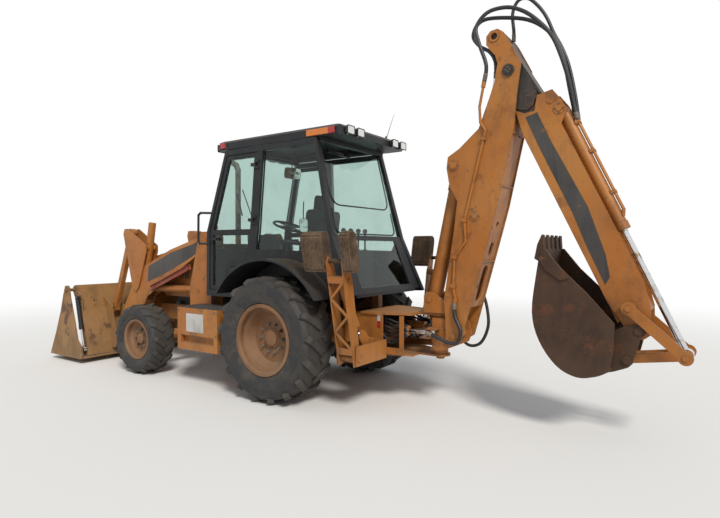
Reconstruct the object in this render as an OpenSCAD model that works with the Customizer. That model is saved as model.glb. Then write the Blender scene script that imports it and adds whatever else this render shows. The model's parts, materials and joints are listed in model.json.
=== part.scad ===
/* [Running gear] */
// Distance between the front and rear axles
wheelbase = 2146; // [2050:1:2250]
// Outside diameter of a rear tyre over its lugs
rear_tyre_d = 1240; // [1180:1:1260]
// Width of a rear tyre
rear_tyre_w = 445; // [380:1:460]
// Outside diameter of a front tyre over its lugs
front_tyre_d = 831; // [780:1:850]
// Width of a front tyre
front_tyre_w = 307; // [270:1:320]
// Half the distance between the middles of the rear tyres
rear_track = 800; // [790:1:830]
// Half the distance between the middles of the front tyres
front_track = 812; // [800:1:840]
// Diameter of a rear rim at its bead
rear_rim_d = 650; // [600:1:680]
// Diameter of a front rim at its bead
front_rim_d = 445; // [400:1:470]

/* [Frame] */
// Height of the frame rails' top
rail_top = 780; // [740:1:820]
// Depth of a frame rail
rail_h = 190; // [150:1:220]
// Thickness of the frame's plates
plate_t = 20; // [12:1:26]
// How far the swing axis lies behind the rear axle
swing_back = 1420; // [1400:1:1460]
// Height of the underside of the rear frame
rear_low = 480; // [460:1:500]
// Height of the top of the rear frame
rear_high = 890; // [870:1:895]

/* [Cab] */
// Height of the roof's top
cab_top = 2720; // [2650:1:2780]
// Height of the cab floor's underside
cab_low = 980; // [960:1:1000]
// Half the cab's width at the floor
cab_half = 720; // [700:1:735]
// Thickness of the cab's posts and walls
post_t = 55; // [45:1:65]
// Thickness of the window panes
glass_t = 6; // [5:1:8]

/* [Loader] */
// Distance from an arm's pivot to its bucket pin
arm_len = 2226; // [2200:1:2260]
// Distance of an arm's middle from the machine's middle
arm_y = 510; // [505:1:515]
// Width of an arm's box section
arm_w = 140; // [136:1:146]
// Width of the loader bucket
bucket_w = 2080; // [2000:1:2200]
// Thickness of the loader bucket's plates
bucket_t = 16; // [12:1:20]
// Outside diameter of the lift cylinders
lift_d = 90; // [80:1:96]
// Outside diameter of the tilt cylinders
tilt_d = 92; // [80:1:96]

/* [Backhoe] */
// Length of the boom from its foot pin to its tip pin
boom_len = 2396; // [2380:1:2420]
// Angle of the parked boom above the rearward ground line
boom_lean = 77.8; // [76:0.1:79]
// Overall width of the boom over its side plates
boom_w = 320; // [310:1:326]
// Thickness of the boom's side plates
boom_t = 12; // [10:1:16]
// Length of the dipper from its pivot to the bucket pin
dipper_len = 2391; // [2370:1:2410]
// Outside width of the sliding dipper section
slide_w = 260; // [250:1:266]
// Gap between the two dipper sections
slide_gap = 8; // [6:1:12]
// Width of the digging bucket
hoe_w = 610; // [450:1:640]
// Diameter of the boom cylinder's barrel
boom_cyl_d = 140; // [120:1:146]
// Diameter of the crowd cylinder's barrel
crowd_cyl_d = 120; // [100:1:126]
// Diameter of the curl cylinder's barrel
curl_cyl_d = 105; // [90:1:110]

/* [Stabilizers] */
// Length of a leg from its pivot to its pad pin
leg_len = 900; // [880:1:920]
// Outward lean of a raised leg
leg_lean = 12; // [11:0.5:13]
// Width of a leg
leg_w = 180; // [170:1:190]

/* [Hidden] */
$fn = 48;

orange = "#c8761e";
black = "#1d1d1f";
tyre_black = "#2b2a28";
worn = "#a5762f";
rusty = "#4b3226";
chrome = "#c9ccd0";
rubber = "#5a4632";

// The rear axle lies this far behind the middle of the whole machine
axle_shift = -250;
// Running clearances at pins and faces, and the gap under a seated piece
pin_gap = 0.6;
run = 6;
seat_gap = 0.3;
// The frame rails' inner and outer faces
rail_in = 230;
rail_out = 310;
rear_axle_d = 190;
// Wheel hubs end just inside the rims' discs
rim_dish = 30;
disc_t = 16;
hub_back = rim_dish - disc_t - seat_gap;
// Kingpin, and the inner face it hangs from
king_y = front_track - 205;
king_in = king_y - 51;
lug_z = 95;
lug_t = 34;
// Rim widths and the depth of a rim's flange
front_rim_w = front_tyre_w * 0.8;
rear_rim_w = rear_tyre_w * 0.85;
flange_t = 12;
hood_pin = [2600, 1085];
// Wheel arches: clear radius, inner wall and outer edge
arch_r = 768;
arch_in = 567;
fender_out = 990;

// Pins of the machine at rest, as [x, z] from the ground below the rear axle
arm_pivot = [1280, 1600];
arm_angle = -37.33;
lift_foot = [1420, 1010];
boom_foot = [-1620, 700];
boom_angle = 180 - boom_lean;
boom_tip = boom_foot + boom_len * [cos(boom_angle), sin(boom_angle)];
dipper_angle = -115.44;
boom_cyl_foot = [-1360, 1030];
swing_x = -swing_back;

// Pivot of the left leg
leg_pivot = [-900, 800, 520];

// Pins in the boom's own frame, along it and to its rear
hump_pin = [1535, -331];
mid_pin = [1120, -27];

// Pins in the dipper's own frame, along it and to the cab side
crank_pin = [-341, -21];
curl_foot = [520, -215];
link_pin = [dipper_len - 184, -8];
joint_pin = [dipper_len + 287, -205];
bucket_link_pin = [dipper_len + 174, 172];

// Pins in the loader arm's own frame, along it and above it
bell_pin = [1456, 369];
bell_top = [1195, 1050];
trunnion = [1008, 654];
tilt_rod_pin = [1290, 400];
bucket_lever = [arm_len - 99, 463];
lift_pin = [1302, 239];

function turned(p, a) = [p[0] * cos(a) - p[1] * sin(a), p[0] * sin(a) + p[1] * cos(a)];
function placed(p, origin, a) = origin + turned(p, a);
function heading(a, b) = atan2(b[1] - a[1], b[0] - a[0]);
function on_boom(p) = placed(p, boom_foot, boom_angle);
function on_dipper(p) = placed(p, boom_tip, dipper_angle);
function on_arm(p) = placed(p, arm_pivot, arm_angle);

// Everything is drawn from the rear axle and moved to the machine's middle
module machine() translate([axle_shift, 0, 0]) children();
module both() {
  children();
  mirror([0, 1, 0]) children();
}
// A frame in the machine's upright plane, its first axis at angle a
module framed(p, a) translate([p[0], 0, p[1]]) rotate([0, -a, 0]) children();
// A flat plate in the upright plane, centred on y
module plate(points, y, t)
  translate([0, y, 0]) rotate([90, 0, 0]) linear_extrude(height = t, center = true) polygon(points);
// A round bar across the machine
module bar(p, d, w, y = 0)
  translate([p[0], y, p[1]]) rotate([90, 0, 0]) cylinder(d = d, h = w, center = true);
module box(low, high) translate(low) cube(high - low);
module bar_x(p, d, w) translate(p) rotate([0, 90, 0]) cylinder(d = d, h = w, center = true);
// A bent tube of straight runs with ball corners, each a little thicker than the tube
module stick(a, b, d) {
  v = b - a;
  translate(a) rotate([0, acos(v[2] / norm(v)), atan2(v[1], v[0])]) cylinder(d = d, h = norm(v));
}
module pipe(points, d) {
  for (i = [1 : len(points) - 1]) stick(points[i - 1], points[i], d);
  for (i = [1 : 1 : len(points) - 2]) translate(points[i]) sphere(d = d * 1.06);
}
// A smooth curve through points, in k steps each
function spot(p, i, t) = let(n = len(p) - 1, a = p[max(i - 1, 0)], b = p[i], c = p[i + 1], d = p[min(i + 2, n)])
  (2 * b + (c - a) * t + (2 * a - 5 * b + 4 * c - d) * t * t + (3 * b - a - 3 * c + d) * t * t * t) / 2;
function spline(p, k) = concat([for (i = [0 : len(p) - 2], j = [0 : k - 1]) spot(p, i, j / k)], [p[len(p) - 1]]);
// The same flat curve moved sideways by t
function beside(p, t) = [for (i = [0 : len(p) - 1]) let(u = p[min(i + 1, len(p) - 1)] - p[max(i - 1, 0)])
  p[i] + t / norm(u) * [-u[1], u[0]]];
function reversed(p) = [for (i = [len(p) - 1 : -1 : 0]) p[i]];
// A hose of n sides along a curve that never runs straight across the machine
module hose(points, d, k, n = 8) {
  path = spline(points, k);
  last = len(path) - 1;
  rings = [for (i = [0 : last]) let(u = path[min(i + 1, last)] - path[max(i - 1, 0)], s = cross(u, [0, 1, 0]),
    a = s / norm(s), b = cross(u, a) / norm(cross(u, a)))
    for (j = [0 : n - 1]) path[i] + d / 2 * (a * cos(360 * j / n) + b * sin(360 * j / n))];
  walls = [for (i = [0 : last - 1], j = [0 : n - 1]) [(i + 1) * n + j, (i + 1) * n + (j + 1) % n, i * n + (j + 1) % n, i * n + j]];
  ends = [[for (j = [0 : n - 1]) j], [for (j = [n - 1 : -1 : 0]) last * n + j]];
  polyhedron(points = rings, faces = concat(walls, ends), convexity = 6);
}

// A cylinder's barrel from its foot pin at a, open at the end that faces b
module barrel(a, b, d, long, rod_d, pin_d, eye_w, y = 0) {
  translate([0, y, 0]) framed(a, heading(a, b)) difference() {
    union() {
      bar([0, 0], pin_d * 1.9, eye_w);
      translate([pin_d * 0.6, 0, 0]) rotate([0, 90, 0]) cylinder(d = d, h = long - pin_d * 0.6);
      translate([long - 60, 0, 0]) rotate([0, 90, 0]) cylinder(d = d * 1.12, h = 60);
    }
    bar([0, 0], pin_d + pin_gap, eye_w + 2);
    translate([pin_d * 1.2, 0, 0]) rotate([0, 90, 0]) cylinder(d = rod_d + 2 * pin_gap, h = long);
  }
}
// A rod that starts inside the barrel and ends in an eye at b
module rod(a, b, start, d, pin_d, eye_w, y = 0) {
  reach = norm(b - a);
  translate([0, y, 0]) framed(a, heading(a, b)) difference() {
    union() {
      translate([start, 0, 0]) rotate([0, 90, 0]) cylinder(d = d, h = reach - start);
      bar([reach, 0], pin_d * 1.8, eye_w);
    }
    bar([reach, 0], pin_d + pin_gap, eye_w + 2);
  }
}
// The heads of a pin that ends in the two ears beside an eye
module pin_heads(p, d, inner, outer, y = 0)
  for (s = [-1, 1]) bar(p, d, outer - inner, y + s * (outer + inner) / 2);

module chassis() color(orange) machine() {
  difference() {
    both() box([-640, rail_in, rail_top - rail_h], [2620, rail_out, rail_top]);
    bar([0, rear_tyre_d / 2], rear_axle_d + 2 * seat_gap, 800);
  }
  for (x = [-520, 390, 1430, 2540]) box([x, -rail_in, rail_top - 60], [x + 80, rail_in, rail_top]);
  // Mounts under the cab floor
  both() for (x = [-560, 980]) box([x, rail_in, rail_top], [x + 80, rail_out, cab_low + 60 - seat_gap]);
  // Radiator guard and counterweight at the front
  box([2540, -380, 600], [2620, 380, 1030]);
  both() {
    plate([[2575, 1025], [2620, 1025], [2612, 1098], [2588, 1098]], 250, 12);
    bar(hood_pin, 20, 60, 250);
  }
  // Axle bolster above the front axle
  box([wheelbase - 110, -rail_in, rail_top - rail_h - 20], [wheelbase + 110, rail_in, rail_top - rail_h]);
  box([wheelbase - 90, -120, 560], [wheelbase + 90, 120, rail_top - rail_h - 10]);
  // Loader towers beside the hood
  both() {
    for (s = [-1, 1]) plate([[1190, 590], [1560, 590], [1560, 1060], [1400, 1660],
      [1330, 1700], [1220, 1700], [1180, 1640]], arm_y + s * (arm_w / 2 + run + 7), 14);
    bar(arm_pivot, 60, arm_w + 2 * run + 40, arm_y);
    bar(lift_foot, 45, arm_w + 2 * run + 40, arm_y);
    box([1190, rail_out - 10, 590], [1560, arm_y + arm_w / 2 + run + 14, 640]);
  }
}
module engine() color("#55524d") machine() {
  box([1520, -225, 640], [2300, 225, 1240]);
  box([480, -225, 520], [1420, 225, 900]);
  box([1400, -225, rail_top + 1], [1530, 225, 900]);
  // Feet on the frame rails
  both() for (x = [600, 1200, 1700, 2150]) box([x, 220, rail_top + seat_gap], [x + 80, 300, rail_top + 40]);
}
module front_axle() {
  z = front_tyre_d / 2;
  bar([wheelbase, z], 130, 2 * king_in);
  translate([wheelbase, 0, z]) sphere(d = 270);
  box([wheelbase - 70, -95, z + 40], [wheelbase + 70, 95, 560 - seat_gap]);
  both() {
    box([wheelbase - 45, king_in - 20, z - 112], [wheelbase + 45, king_in, z + 112]);
    for (h = [-1, 1]) {
      translate([wheelbase, king_y, z + h * lug_z]) cylinder(d = 90, h = lug_t, center = true);
      translate([wheelbase - 45, king_in - 10, z + h * lug_z - lug_t / 2]) cube([90, king_y - king_in + 10, lug_t]);
    }
  }
}
module rear_axle() {
  z = rear_tyre_d / 2;
  bar([0, z], rear_axle_d, 2 * rear_track - 460);
  translate([0, 0, z]) sphere(d = 400);
  both() bar([0, z], 300, hub_back + 240, rear_track + (hub_back - 240) / 2);
}
module axles() color(orange) machine() {
  front_axle();
  rear_axle();
}
module side_boxes() color(orange) machine() both() {
  difference() {
    box([680, 608, 400], [1330, 950, 860]);
    box([740, 900, 480], [1270, 960, 560]);
  }
  for (x = [700, 1100]) box([x, rail_out + seat_gap, 640], [x + 70, 620, 700]);
}
module hood() color(orange) machine() {
  difference() {
    rotate([90, 0, 0]) linear_extrude(height = 800, center = true)
      polygon([[1200, 900], [1200, 1560], [2300, 1450], [2640, 1380], [2680, 1300], [2680, 1070], [2480, 1070], [2300, 900]]);
    translate([-15, 0, -15]) rotate([90, 0, 0]) linear_extrude(height = 776, center = true)
      polygon([[1100, 800], [1100, 1560], [2300, 1450], [2640, 1380], [2680, 1300], [2680, 1000], [2480, 1000], [2300, 800]]);
    for (i = [0 : 5]) translate([2600, -300, 1130 + 26 * i]) cube([120, 600, 13]);
  }
  // Exhaust stack with its bent mouth
  pipe([[1750, -340, 1480], [1750, -340, 2560], [1780, -335, 2625], [1845, -325, 2665]], 74);
  translate([1750, -340, 1490]) cylinder(d = 130, h = 60);
  // Head lamps
  both() bar_x([2668, 275, 1240], 120, 50);
  both() difference() {
    for (h = [-1, 1]) plate([[2580, 1072], [2668, 1072], [2668, 1108], [2580, 1108]], 250 + h * 20, 10);
    bar(hood_pin, 20 + pin_gap, 80, 250);
  }
}

// Cab: side outline from the floor to the roof's underside
cab_front_low = [1120, cab_low];
cab_front_mid = [1170, 1700];
cab_front_top = [930, cab_top - 120];
cab_rear_top = [-370, cab_top - 120];
cab_rear_mid = [-616, 1626];
cab_rear_low = [-870, 1040];
side_lean = 4;
module cab_side() translate([0, cab_half, cab_low]) rotate([side_lean, 0, 0])
  translate([0, 0, -cab_low]) children();
module inset_plate(points, y, t, d)
  translate([0, y, 0]) rotate([90, 0, 0]) linear_extrude(height = t, center = true)
    offset(delta = d) polygon(points);
door_outline = [[470, 1420], [560, 1320], [760, 1310], [850, 1050], [1080, 1050], [1125, 1700], [905, 2540], [425, 2540], [440, 1700]];
quarter_outline = [[-480, 1480], [-560, 1640], [-345, 2540], [350, 2540], [370, 1700], [385, 1500]];
// Lower rear pane: half its width, its bottom and its top
low_pane = [470, 1120, 1590];
// Hinge line of a door in its own leaning side, and the height of the hinges
hinge_at = [445, 12];
hinge_z = [1790, 2380];
// Band of a door that carries the rail between its panes
rail_z = [1655, 1715];
module roof() difference() {
  intersection() {
    slab([-670, -600, cab_top - 115], [1075, 600, cab_top], 70);
    plate([[-670, cab_top - 120], [-668, cab_top - 50], [-640, cab_top - 22], [-560, cab_top - 6], [-400, cab_top],
      [800, cab_top], [960, cab_top - 8], [1040, cab_top - 26], [1072, cab_top - 55], [1075, cab_top - 120]], 0, 1300);
    rotate([90, 0, 90]) linear_extrude(height = 3000, center = true) polygon([[-600, cab_top - 120], [-598, cab_top - 40],
      [-570, cab_top - 14], [-480, cab_top], [480, cab_top], [570, cab_top - 14], [598, cab_top - 40], [600, cab_top - 120]]);
  }
  slab([-250, -480, cab_top - 125], [840, 480, cab_top - 55], 30);
}
module cab_frame() color(black) machine() {
  both() difference() {
    cab_side() difference() {
      plate([cab_front_low, cab_front_mid, cab_front_top, cab_rear_top, cab_rear_mid, cab_rear_low,
        [600, cab_low]], -post_t / 2, post_t);
      plate(door_outline, -post_t / 2, post_t + 10);
      plate(quarter_outline, -post_t / 2, post_t + 10);
    }
    bar([0, rear_tyre_d / 2], 2 * arch_r - 2, 2000);
  }
  roof();
  // Cross members that join the sides
  box([-400, -570, cab_top - 150], [-330, 570, cab_top - 110]);
  box([860, -570, cab_top - 150], [920, 570, cab_top - 110]);
  box([-700, -arch_in, cab_low + 60], [1110, arch_in, cab_low + 110]);
  box([800, -650, cab_low + 60], [1110, 650, cab_low + 110]);
  // Front cowl under the windscreen and the rear wall under the rear window
  cab_wall([[1060, cab_low + 60], [1095, cab_low + 60], [1125, 1500], [1090, 1500]]);
  difference() {
    cab_wall([[-840, 1070], [-800, 1070], [-575, 1640], [-600, 1640]]);
    both() translate([0, 1000, rear_tyre_d / 2]) rotate([90, 0, 0]) cylinder(r = arch_r, h = 1000 - arch_in);
    box([-900, -low_pane[0], low_pane[1]], [-500, low_pane[0], low_pane[2]]);
  }
  // Hinge pins of the doors between their lugs
  both() cab_side() for (z = hinge_z) {
    translate([hinge_at[0], hinge_at[1], z - 25]) cylinder(d = 12, h = 90);
    for (h = [-25, 40]) {
      translate([hinge_at[0], hinge_at[1], z + h]) cylinder(d = 22, h = 25);
      translate([0, 0, z + h]) linear_extrude(height = 25) polygon([[395, -30], [426, -30], [426, -1], [447, 1], [447, 23], [425, 23], [395, 10]]);
    }
  }
  // Grab rails at the front posts
  both() pipe([[1093, 642, 1905], [1190, 742, 1905], [1215, 750, 1880], [1215, 755, 1590], [1200, 745, 1562], [1137, 668, 1560]], 26);
  box([-830, -arch_in, cab_low + 60], [-690, arch_in, cab_low + 100]);
  // Fenders over the rear tyres with their inner walls
  both() difference() {
    translate([0, fender_out, rear_tyre_d / 2]) rotate([90, 0, 0]) cylinder(r = arch_r + 22, h = fender_out - arch_in + 10);
    translate([0, fender_out + 10, rear_tyre_d / 2]) rotate([90, 0, 0]) cylinder(r = arch_r, h = fender_out - arch_in + 10);
    box([-900, 500, -300], [900, 1100, cab_low + 60]);
  }
}
// A wall across the cab, cut to its leaning sides; points are its section
module cab_wall(points) intersection() {
  plate(points, 0, 1400);
  rotate([90, 0, 90]) linear_extrude(height = 2400, center = true) polygon([
    [0.6 + post_t - cab_half, cab_low], [cab_half - post_t - 0.6, cab_low],
    [cab_half - post_t - 114, cab_low + 1620], [post_t + 114 - cab_half, cab_low + 1620]]);
}
// A flat block with upright round edges of radius r
module slab(low, high, r) {
  box([low[0] + r, low[1], low[2]], [high[0] - r, high[1], high[2]]);
  box([low[0], low[1] + r, low[2]], [high[0], high[1] - r, high[2]]);
  for (x = [low[0] + r, high[0] - r], y = [low[1] + r, high[1] - r])
    translate([x, y, low[2]]) cylinder(r = r, h = high[2] - low[2]);
}
module cab_glass() color("#9fb9ae") machine() {
  both() cab_side() inset_plate(quarter_outline, -post_t / 2, glass_t, -seat_gap);
  cab_wall([[1095, 1501], [1101, 1501], [1138, 1700], [913, 2569], [907, 2569], [1132, 1700]]);
  cab_wall([[-580, 1641], [-574, 1641], [-344, 2569], [-350, 2569]]);
  plate([[-803, low_pane[1] + seat_gap], [-797, low_pane[1] + seat_gap], [-605, low_pane[2] - seat_gap],
    [-611, low_pane[2] - seat_gap]], 0, 2 * (low_pane[0] - seat_gap));
}
module door(s) color(black) machine() mirror([0, s < 0 ? 1 : 0, 0]) cab_side() {
  difference() {
    inset_plate(door_outline, -post_t / 2, 40, -6);
    inset_plate(door_outline, -post_t / 2, 50, -50);
  }
  intersection() {
    inset_plate(door_outline, -post_t / 2, 40, -7);
    box([300, -post_t, rail_z[0]], [1200, 0, rail_z[1]]);
  }
  // Latch handle, and the sleeves around the hinge pins
  box([985, -12, 1600], [1080, 22, 1628]);
  difference() {
    for (z = hinge_z) {
      translate([hinge_at[0], hinge_at[1], z + seat_gap]) cylinder(d = 22, h = 40 - 2 * seat_gap);
      translate([0, 0, z + 4]) linear_extrude(height = 32)
        polygon([[450, 3], [450, 21], [500, 21], [500, -12], [470, -12], [470, 3]]);
    }
    for (z = hinge_z) translate([hinge_at[0], hinge_at[1], z - 30]) cylinder(d = 12 + pin_gap, h = 100);
  }
}
module door_glass(s) color("#9fb9ae") machine() mirror([0, s < 0 ? 1 : 0, 0]) cab_side() difference() {
  inset_plate(door_outline, -post_t / 2, glass_t, -50 - seat_gap);
  box([300, -post_t, rail_z[0] - seat_gap], [1200, 0, rail_z[1] + seat_gap]);
}
module door_glass_left() door_glass(1);
module door_glass_right() door_glass(-1);
module door_left() door(1);
module door_right() door(-1);
module seat() color("#2a2a2c") machine() {
  floor_z = cab_low + 110 + seat_gap;
  slab([60, -250, 1250], [520, 250, 1370], 50);
  translate([150, 0, 1340]) rotate([0, -8, 0]) {
    rotate([0, -90, 0]) slab([0, -235, 0], [600, 235, 110], 60);
    translate([-45, 0, 590]) rotate([0, -90, 0]) slab([0, -120, -45], [170, 120, 45], 40);
  }
  box([180, -170, floor_z], [420, 170, 1251]);
  both() pipe([[120, 225, 1320], [104, 288, 1420], [92, 290, 1560], [400, 290, 1585]], 46);
  // Steering column and wheel
  translate([760, 0, floor_z + 10]) rotate([0, -20, 0]) cylinder(d = 60, h = 706);
  box([700, -60, floor_z], [820, 60, floor_z + 30]);
  translate([520, 0, 1760]) rotate([0, -20, 0]) {
    rotate([0, 0, 45]) rotate_extrude() translate([190, 0]) circle(d = 26, $fn = 24);
    cube([380, 30, 14], center = true);
    cube([30, 380, 14], center = true);
  }
  // Dashboard on its stand
  box([850, -170, floor_z], [980, 170, 1500]);
  rotate([90, 0, 0]) linear_extrude(height = 420, center = true) polygon([[850, 1480], [990, 1480], [1000, 1660], [930, 1670]]);
  // Console with the levers for the digging arm
  box([-470, -270, floor_z], [-340, 270, 1480]);
  both() for (y = [70, 200]) {
    translate([-400, y, 1470]) cylinder(d = 50, h = 26);
    translate([-400, y, 1480]) cylinder(d = 20, h = 200);
    translate([-400, y, 1695]) sphere(d = 52);
  }
}
module lamps() color("#d9d9d4") machine() {
  for (y = [-500, -330, 330, 500]) {
    translate([-712, y, cab_top - 75]) rotate([0, 90, 0]) cylinder(d = 76, h = 42 - seat_gap);
    translate([1075 + seat_gap, y, cab_top - 75]) rotate([0, 90, 0]) cylinder(d = 76, h = 34);
  }
  // Marker lamps on the roof's sides and tail lamps on the fenders
  both() {
    box([-590, 600 + seat_gap, cab_top - 105], [-250, 616, cab_top - 50]);
    box([930, 600 + seat_gap, cab_top - 100], [1000, 616, cab_top - 45]);
  }
}

swing_arm = 170;
swing_z = 715;
module swing_barrels() both() difference() {
  translate([-1165, swing_arm, swing_z]) rotate([0, 90, 0]) cylinder(d = 100, h = 545);
  translate([-1181, swing_arm, swing_z]) rotate([0, 90, 0]) cylinder(d = 51, h = 540);
}
module rear_frame() color(orange) machine() {
  plan = [[-520, 350], [-900, 350], [-1240, 235], [-1245, 95], [swing_x, 95], [swing_x, -95],
    [-1245, -95], [-1240, -235], [-900, -350], [-520, -350]];
  for (z = [rear_low, rear_high - plate_t]) difference() {
    translate([0, 0, z]) linear_extrude(height = plate_t) polygon(plan);
    if (z > rear_low) box([-640, -320, z - 1], [-400, 320, z + plate_t + 1]);
    bar([0, rear_tyre_d / 2], 2 * arch_r, 3000);
    translate([swing_x, 0, z - 1]) cylinder(d = 80 + pin_gap, h = plate_t + 2);
  }
  for (z = [rear_low, rear_high - plate_t]) difference() {
    translate([swing_x, 0, z]) cylinder(d = 190, h = plate_t);
    translate([swing_x, 0, z - 1]) cylinder(d = 80 + pin_gap, h = plate_t + 2);
  }
  both() difference() {
    plate([[-520, 590], [-640, rear_low + plate_t], [-1190, rear_low + plate_t], [-1190, rear_high - plate_t],
      [-640, rear_high - plate_t], [-520, 780]], rail_out + seat_gap + plate_t / 2, plate_t);
    plate([[-960, 560], [-1150, 560], [-1150, 880], [-960, 880]], rail_out + seat_gap + plate_t / 2, plate_t + 2);
  }
  box([-640 - plate_t - 1, -rail_out, rear_low + 10], [-641, rail_out, rear_high - 10]);
  swing_barrels();
  // Cross beam that carries the stabilizers
  both() {
    for (x = [-1010, -800]) box([x, 330, rear_low - 20], [x + 10, 835, 640]);
    box([-1010, 330, rear_low - 20], [-790, 720, rear_low]);
    bar_x(leg_pivot, 50, 240);
    for (x = [-56, 44]) translate([leg_pivot[0] + x, 0, 0]) rotate([90, 0, 90]) linear_extrude(height = 12)
      polygon([[330, rear_low - 10], [600, rear_low - 10], [640, 600], [705, 690], [690, 745], [655, 765], [610, 745],
        [560, 690], [330, 640]]);
  }
}
module swing_rod(s) color(chrome) machine() difference() {
  union() {
    translate([swing_x, s * swing_arm, swing_z]) rotate([0, 90, 0]) cylinder(d = 50, h = 420);
    translate([swing_x, s * swing_arm, swing_z]) cylinder(d = 70, h = 50, center = true);
  }
  translate([swing_x, s * swing_arm, swing_z]) cylinder(d = 40, h = 60, center = true);
}
module swing_rod_left() swing_rod(1);
module swing_rod_right() swing_rod(-1);

module knuckle(s) color(orange) machine() mirror([0, s < 0 ? 1 : 0, 0]) {
  z = front_tyre_d / 2;
  translate([wheelbase, king_y, z]) cylinder(d = 80, h = 2 * lug_z - lug_t - 2 * seat_gap, center = true);
  bar([wheelbase, z], 110, front_track + hub_back - king_y, (front_track + hub_back + king_y) / 2);
}
module knuckle_left() knuckle(1);
module knuckle_right() knuckle(-1);

// A rim is a turned barrel with a drop centre, two flanges and a dished disc
module rim(d, w) rotate([90, 0, 0]) rotate_extrude($fn = 72) polygon([
  [0, -rim_dish - 20], [d * 0.14, -rim_dish - 20], [d * 0.16, -rim_dish], [d * 0.36, -rim_dish],
  [d * 0.46 - 20, -w / 2 + 84], [d / 2 - 16, -w / 2 + 62], [d / 2 - 16, -w / 2 + 14], [d / 2 - 6, -w / 2],
  [d * 0.54, -w / 2], [d * 0.54, -w / 2 + flange_t], [d / 2, -w / 2 + flange_t], [d / 2, -w / 2 + 70],
  [d * 0.46, -w / 2 + 90], [d * 0.46, w / 2 - 110], [d / 2, w / 2 - 70], [d / 2, w / 2 - flange_t],
  [d * 0.54, w / 2 - flange_t], [d * 0.54, w / 2], [d / 2 - 6, w / 2], [d / 2 - 16, w / 2 - 14],
  [d / 2 - 16, w / 2 - 66], [d * 0.46 - 14, w / 2 - 100], [d * 0.46 - 14, -w / 2 + 100],
  [d * 0.36, disc_t - rim_dish], [0, disc_t - rim_dish]]);
// A tyre's carcass sits on the rim between its flanges and carries n lugs a side
module tyre(d, w, rim_d, rim_w, n, lug_h, lug_w) rotate([90, 0, 0]) {
  bead = rim_w / 2 - flange_t - seat_gap;
  crown = d / 2 - lug_h;
  rotate_extrude($fn = 72) polygon([
    [rim_d / 2 + seat_gap, -bead], [rim_d * 0.54 + 4, -bead], [rim_d * 0.54 + 12, -bead - 12], [d * 0.38, -w * 0.49],
    [d * 0.44, -w * 0.48], [crown - d * 0.01, -w * 0.4], [crown, -w * 0.26], [crown, w * 0.26],
    [crown - d * 0.01, w * 0.4], [d * 0.44, w * 0.48], [d * 0.38, w * 0.49], [rim_d * 0.54 + 12, bead + 12],
    [rim_d * 0.54 + 4, bead], [rim_d / 2 + seat_gap, bead]]);
  long = w * 0.56;
  top = sqrt(d * d / 4 - long * long / 9) - crown;
  for (side = [0, 1], i = [0 : n - 1]) mirror([0, 0, side]) rotate([0, 0, (i + side / 2) * 360 / n])
    translate([crown, 0, w * 0.235]) rotate([38, 0, 0]) translate([0, lug_w / 2, 0]) rotate([90, 0, 0])
      linear_extrude(height = lug_w) polygon([[-lug_h - 12, -long / 2], [top, -long / 2 + 10], [top, long / 2 - 40],
        [top - 26, long / 2], [-lug_h - 12, long / 2 - 4]]);
}
module at_wheel(x, y, d) machine() translate([x, y, d / 2]) children();
module front_tyre() tyre(front_tyre_d, front_tyre_w, front_rim_d, front_rim_w, 15, 20, 48);
module rear_tyre() tyre(rear_tyre_d, rear_tyre_w, rear_rim_d, rear_rim_w, 17, 30, 62);
module front_rim_left() color(orange) at_wheel(wheelbase, front_track, front_tyre_d) rim(front_rim_d, front_rim_w);
module front_rim_right() color(orange) mirror([0, 1, 0]) front_rim_left();
module front_tyre_left() color(tyre_black) at_wheel(wheelbase, front_track, front_tyre_d) front_tyre();
module front_tyre_right() color(tyre_black) mirror([0, 1, 0]) front_tyre_left();
module rear_rim_left() color(orange) at_wheel(0, rear_track, rear_tyre_d) rim(rear_rim_d, rear_rim_w);
module rear_rim_right() color(orange) mirror([0, 1, 0]) rear_rim_left();
module rear_tyre_left() color(tyre_black) at_wheel(0, rear_track, rear_tyre_d) rear_tyre();
module rear_tyre_right() color(tyre_black) mirror([0, 1, 0]) rear_tyre_left();

module arm_frame() machine() framed(arm_pivot, arm_angle) children();
module loader_arms() color(orange) arm_frame() {
  both() difference() {
    union() {
      plate([[-70, 60], [18, 85], [609, 325], [1231, 500], [1290, 500], [1509, 445], [1850, 318],
        [arm_len + 70, 70], [arm_len + 80, -20], [arm_len, -80], [arm_len - 60, -75], [1559, 56],
        [1349, 136], [325, -19], [-60, -70], [-85, 0]], arm_y, arm_w);
    }
    // Pocket for the lift rod from below and the tilt cylinder from above
    plate([[820, -60], [830, 160], [1060, 330], [560, 240], [560, 560], [1400, 560], [1400, 330], [1420, 240], [1400, 60]],
      arm_y, arm_w - 24);
    bar([0, 0], 60 + pin_gap, arm_w + 2, arm_y);
    bar([arm_len, 0], 50 + pin_gap, arm_w + 2, arm_y);
    bar(bell_pin, 50 + pin_gap, arm_w + 2, arm_y);
  }
  // Torque tube between the arms
  bar([1900, 120], 150, 2 * arm_y - arm_w + 20);
}
module bellcranks() color(orange) arm_frame() both() {
  for (s = [-1, 1]) plate([bell_pin + [40, -60], bell_pin + [70, 10], bell_top + [60, 20], bell_top + [0, 60],
    bell_top + [-60, 20], trunnion + [-60, 0], trunnion + [-20, -60], bell_pin + [-60, -40]],
    arm_y + s * (arm_w / 2 + run + 6), 12);
  bar(bell_pin, 50, arm_w + 2 * run + 12, arm_y);
  bar(bell_top, 45, arm_w + 2 * run + 12, arm_y);
  pin_heads(trunnion, 40, tilt_d / 2 - 2, arm_w / 2 + run + 2, arm_y);
}
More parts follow.
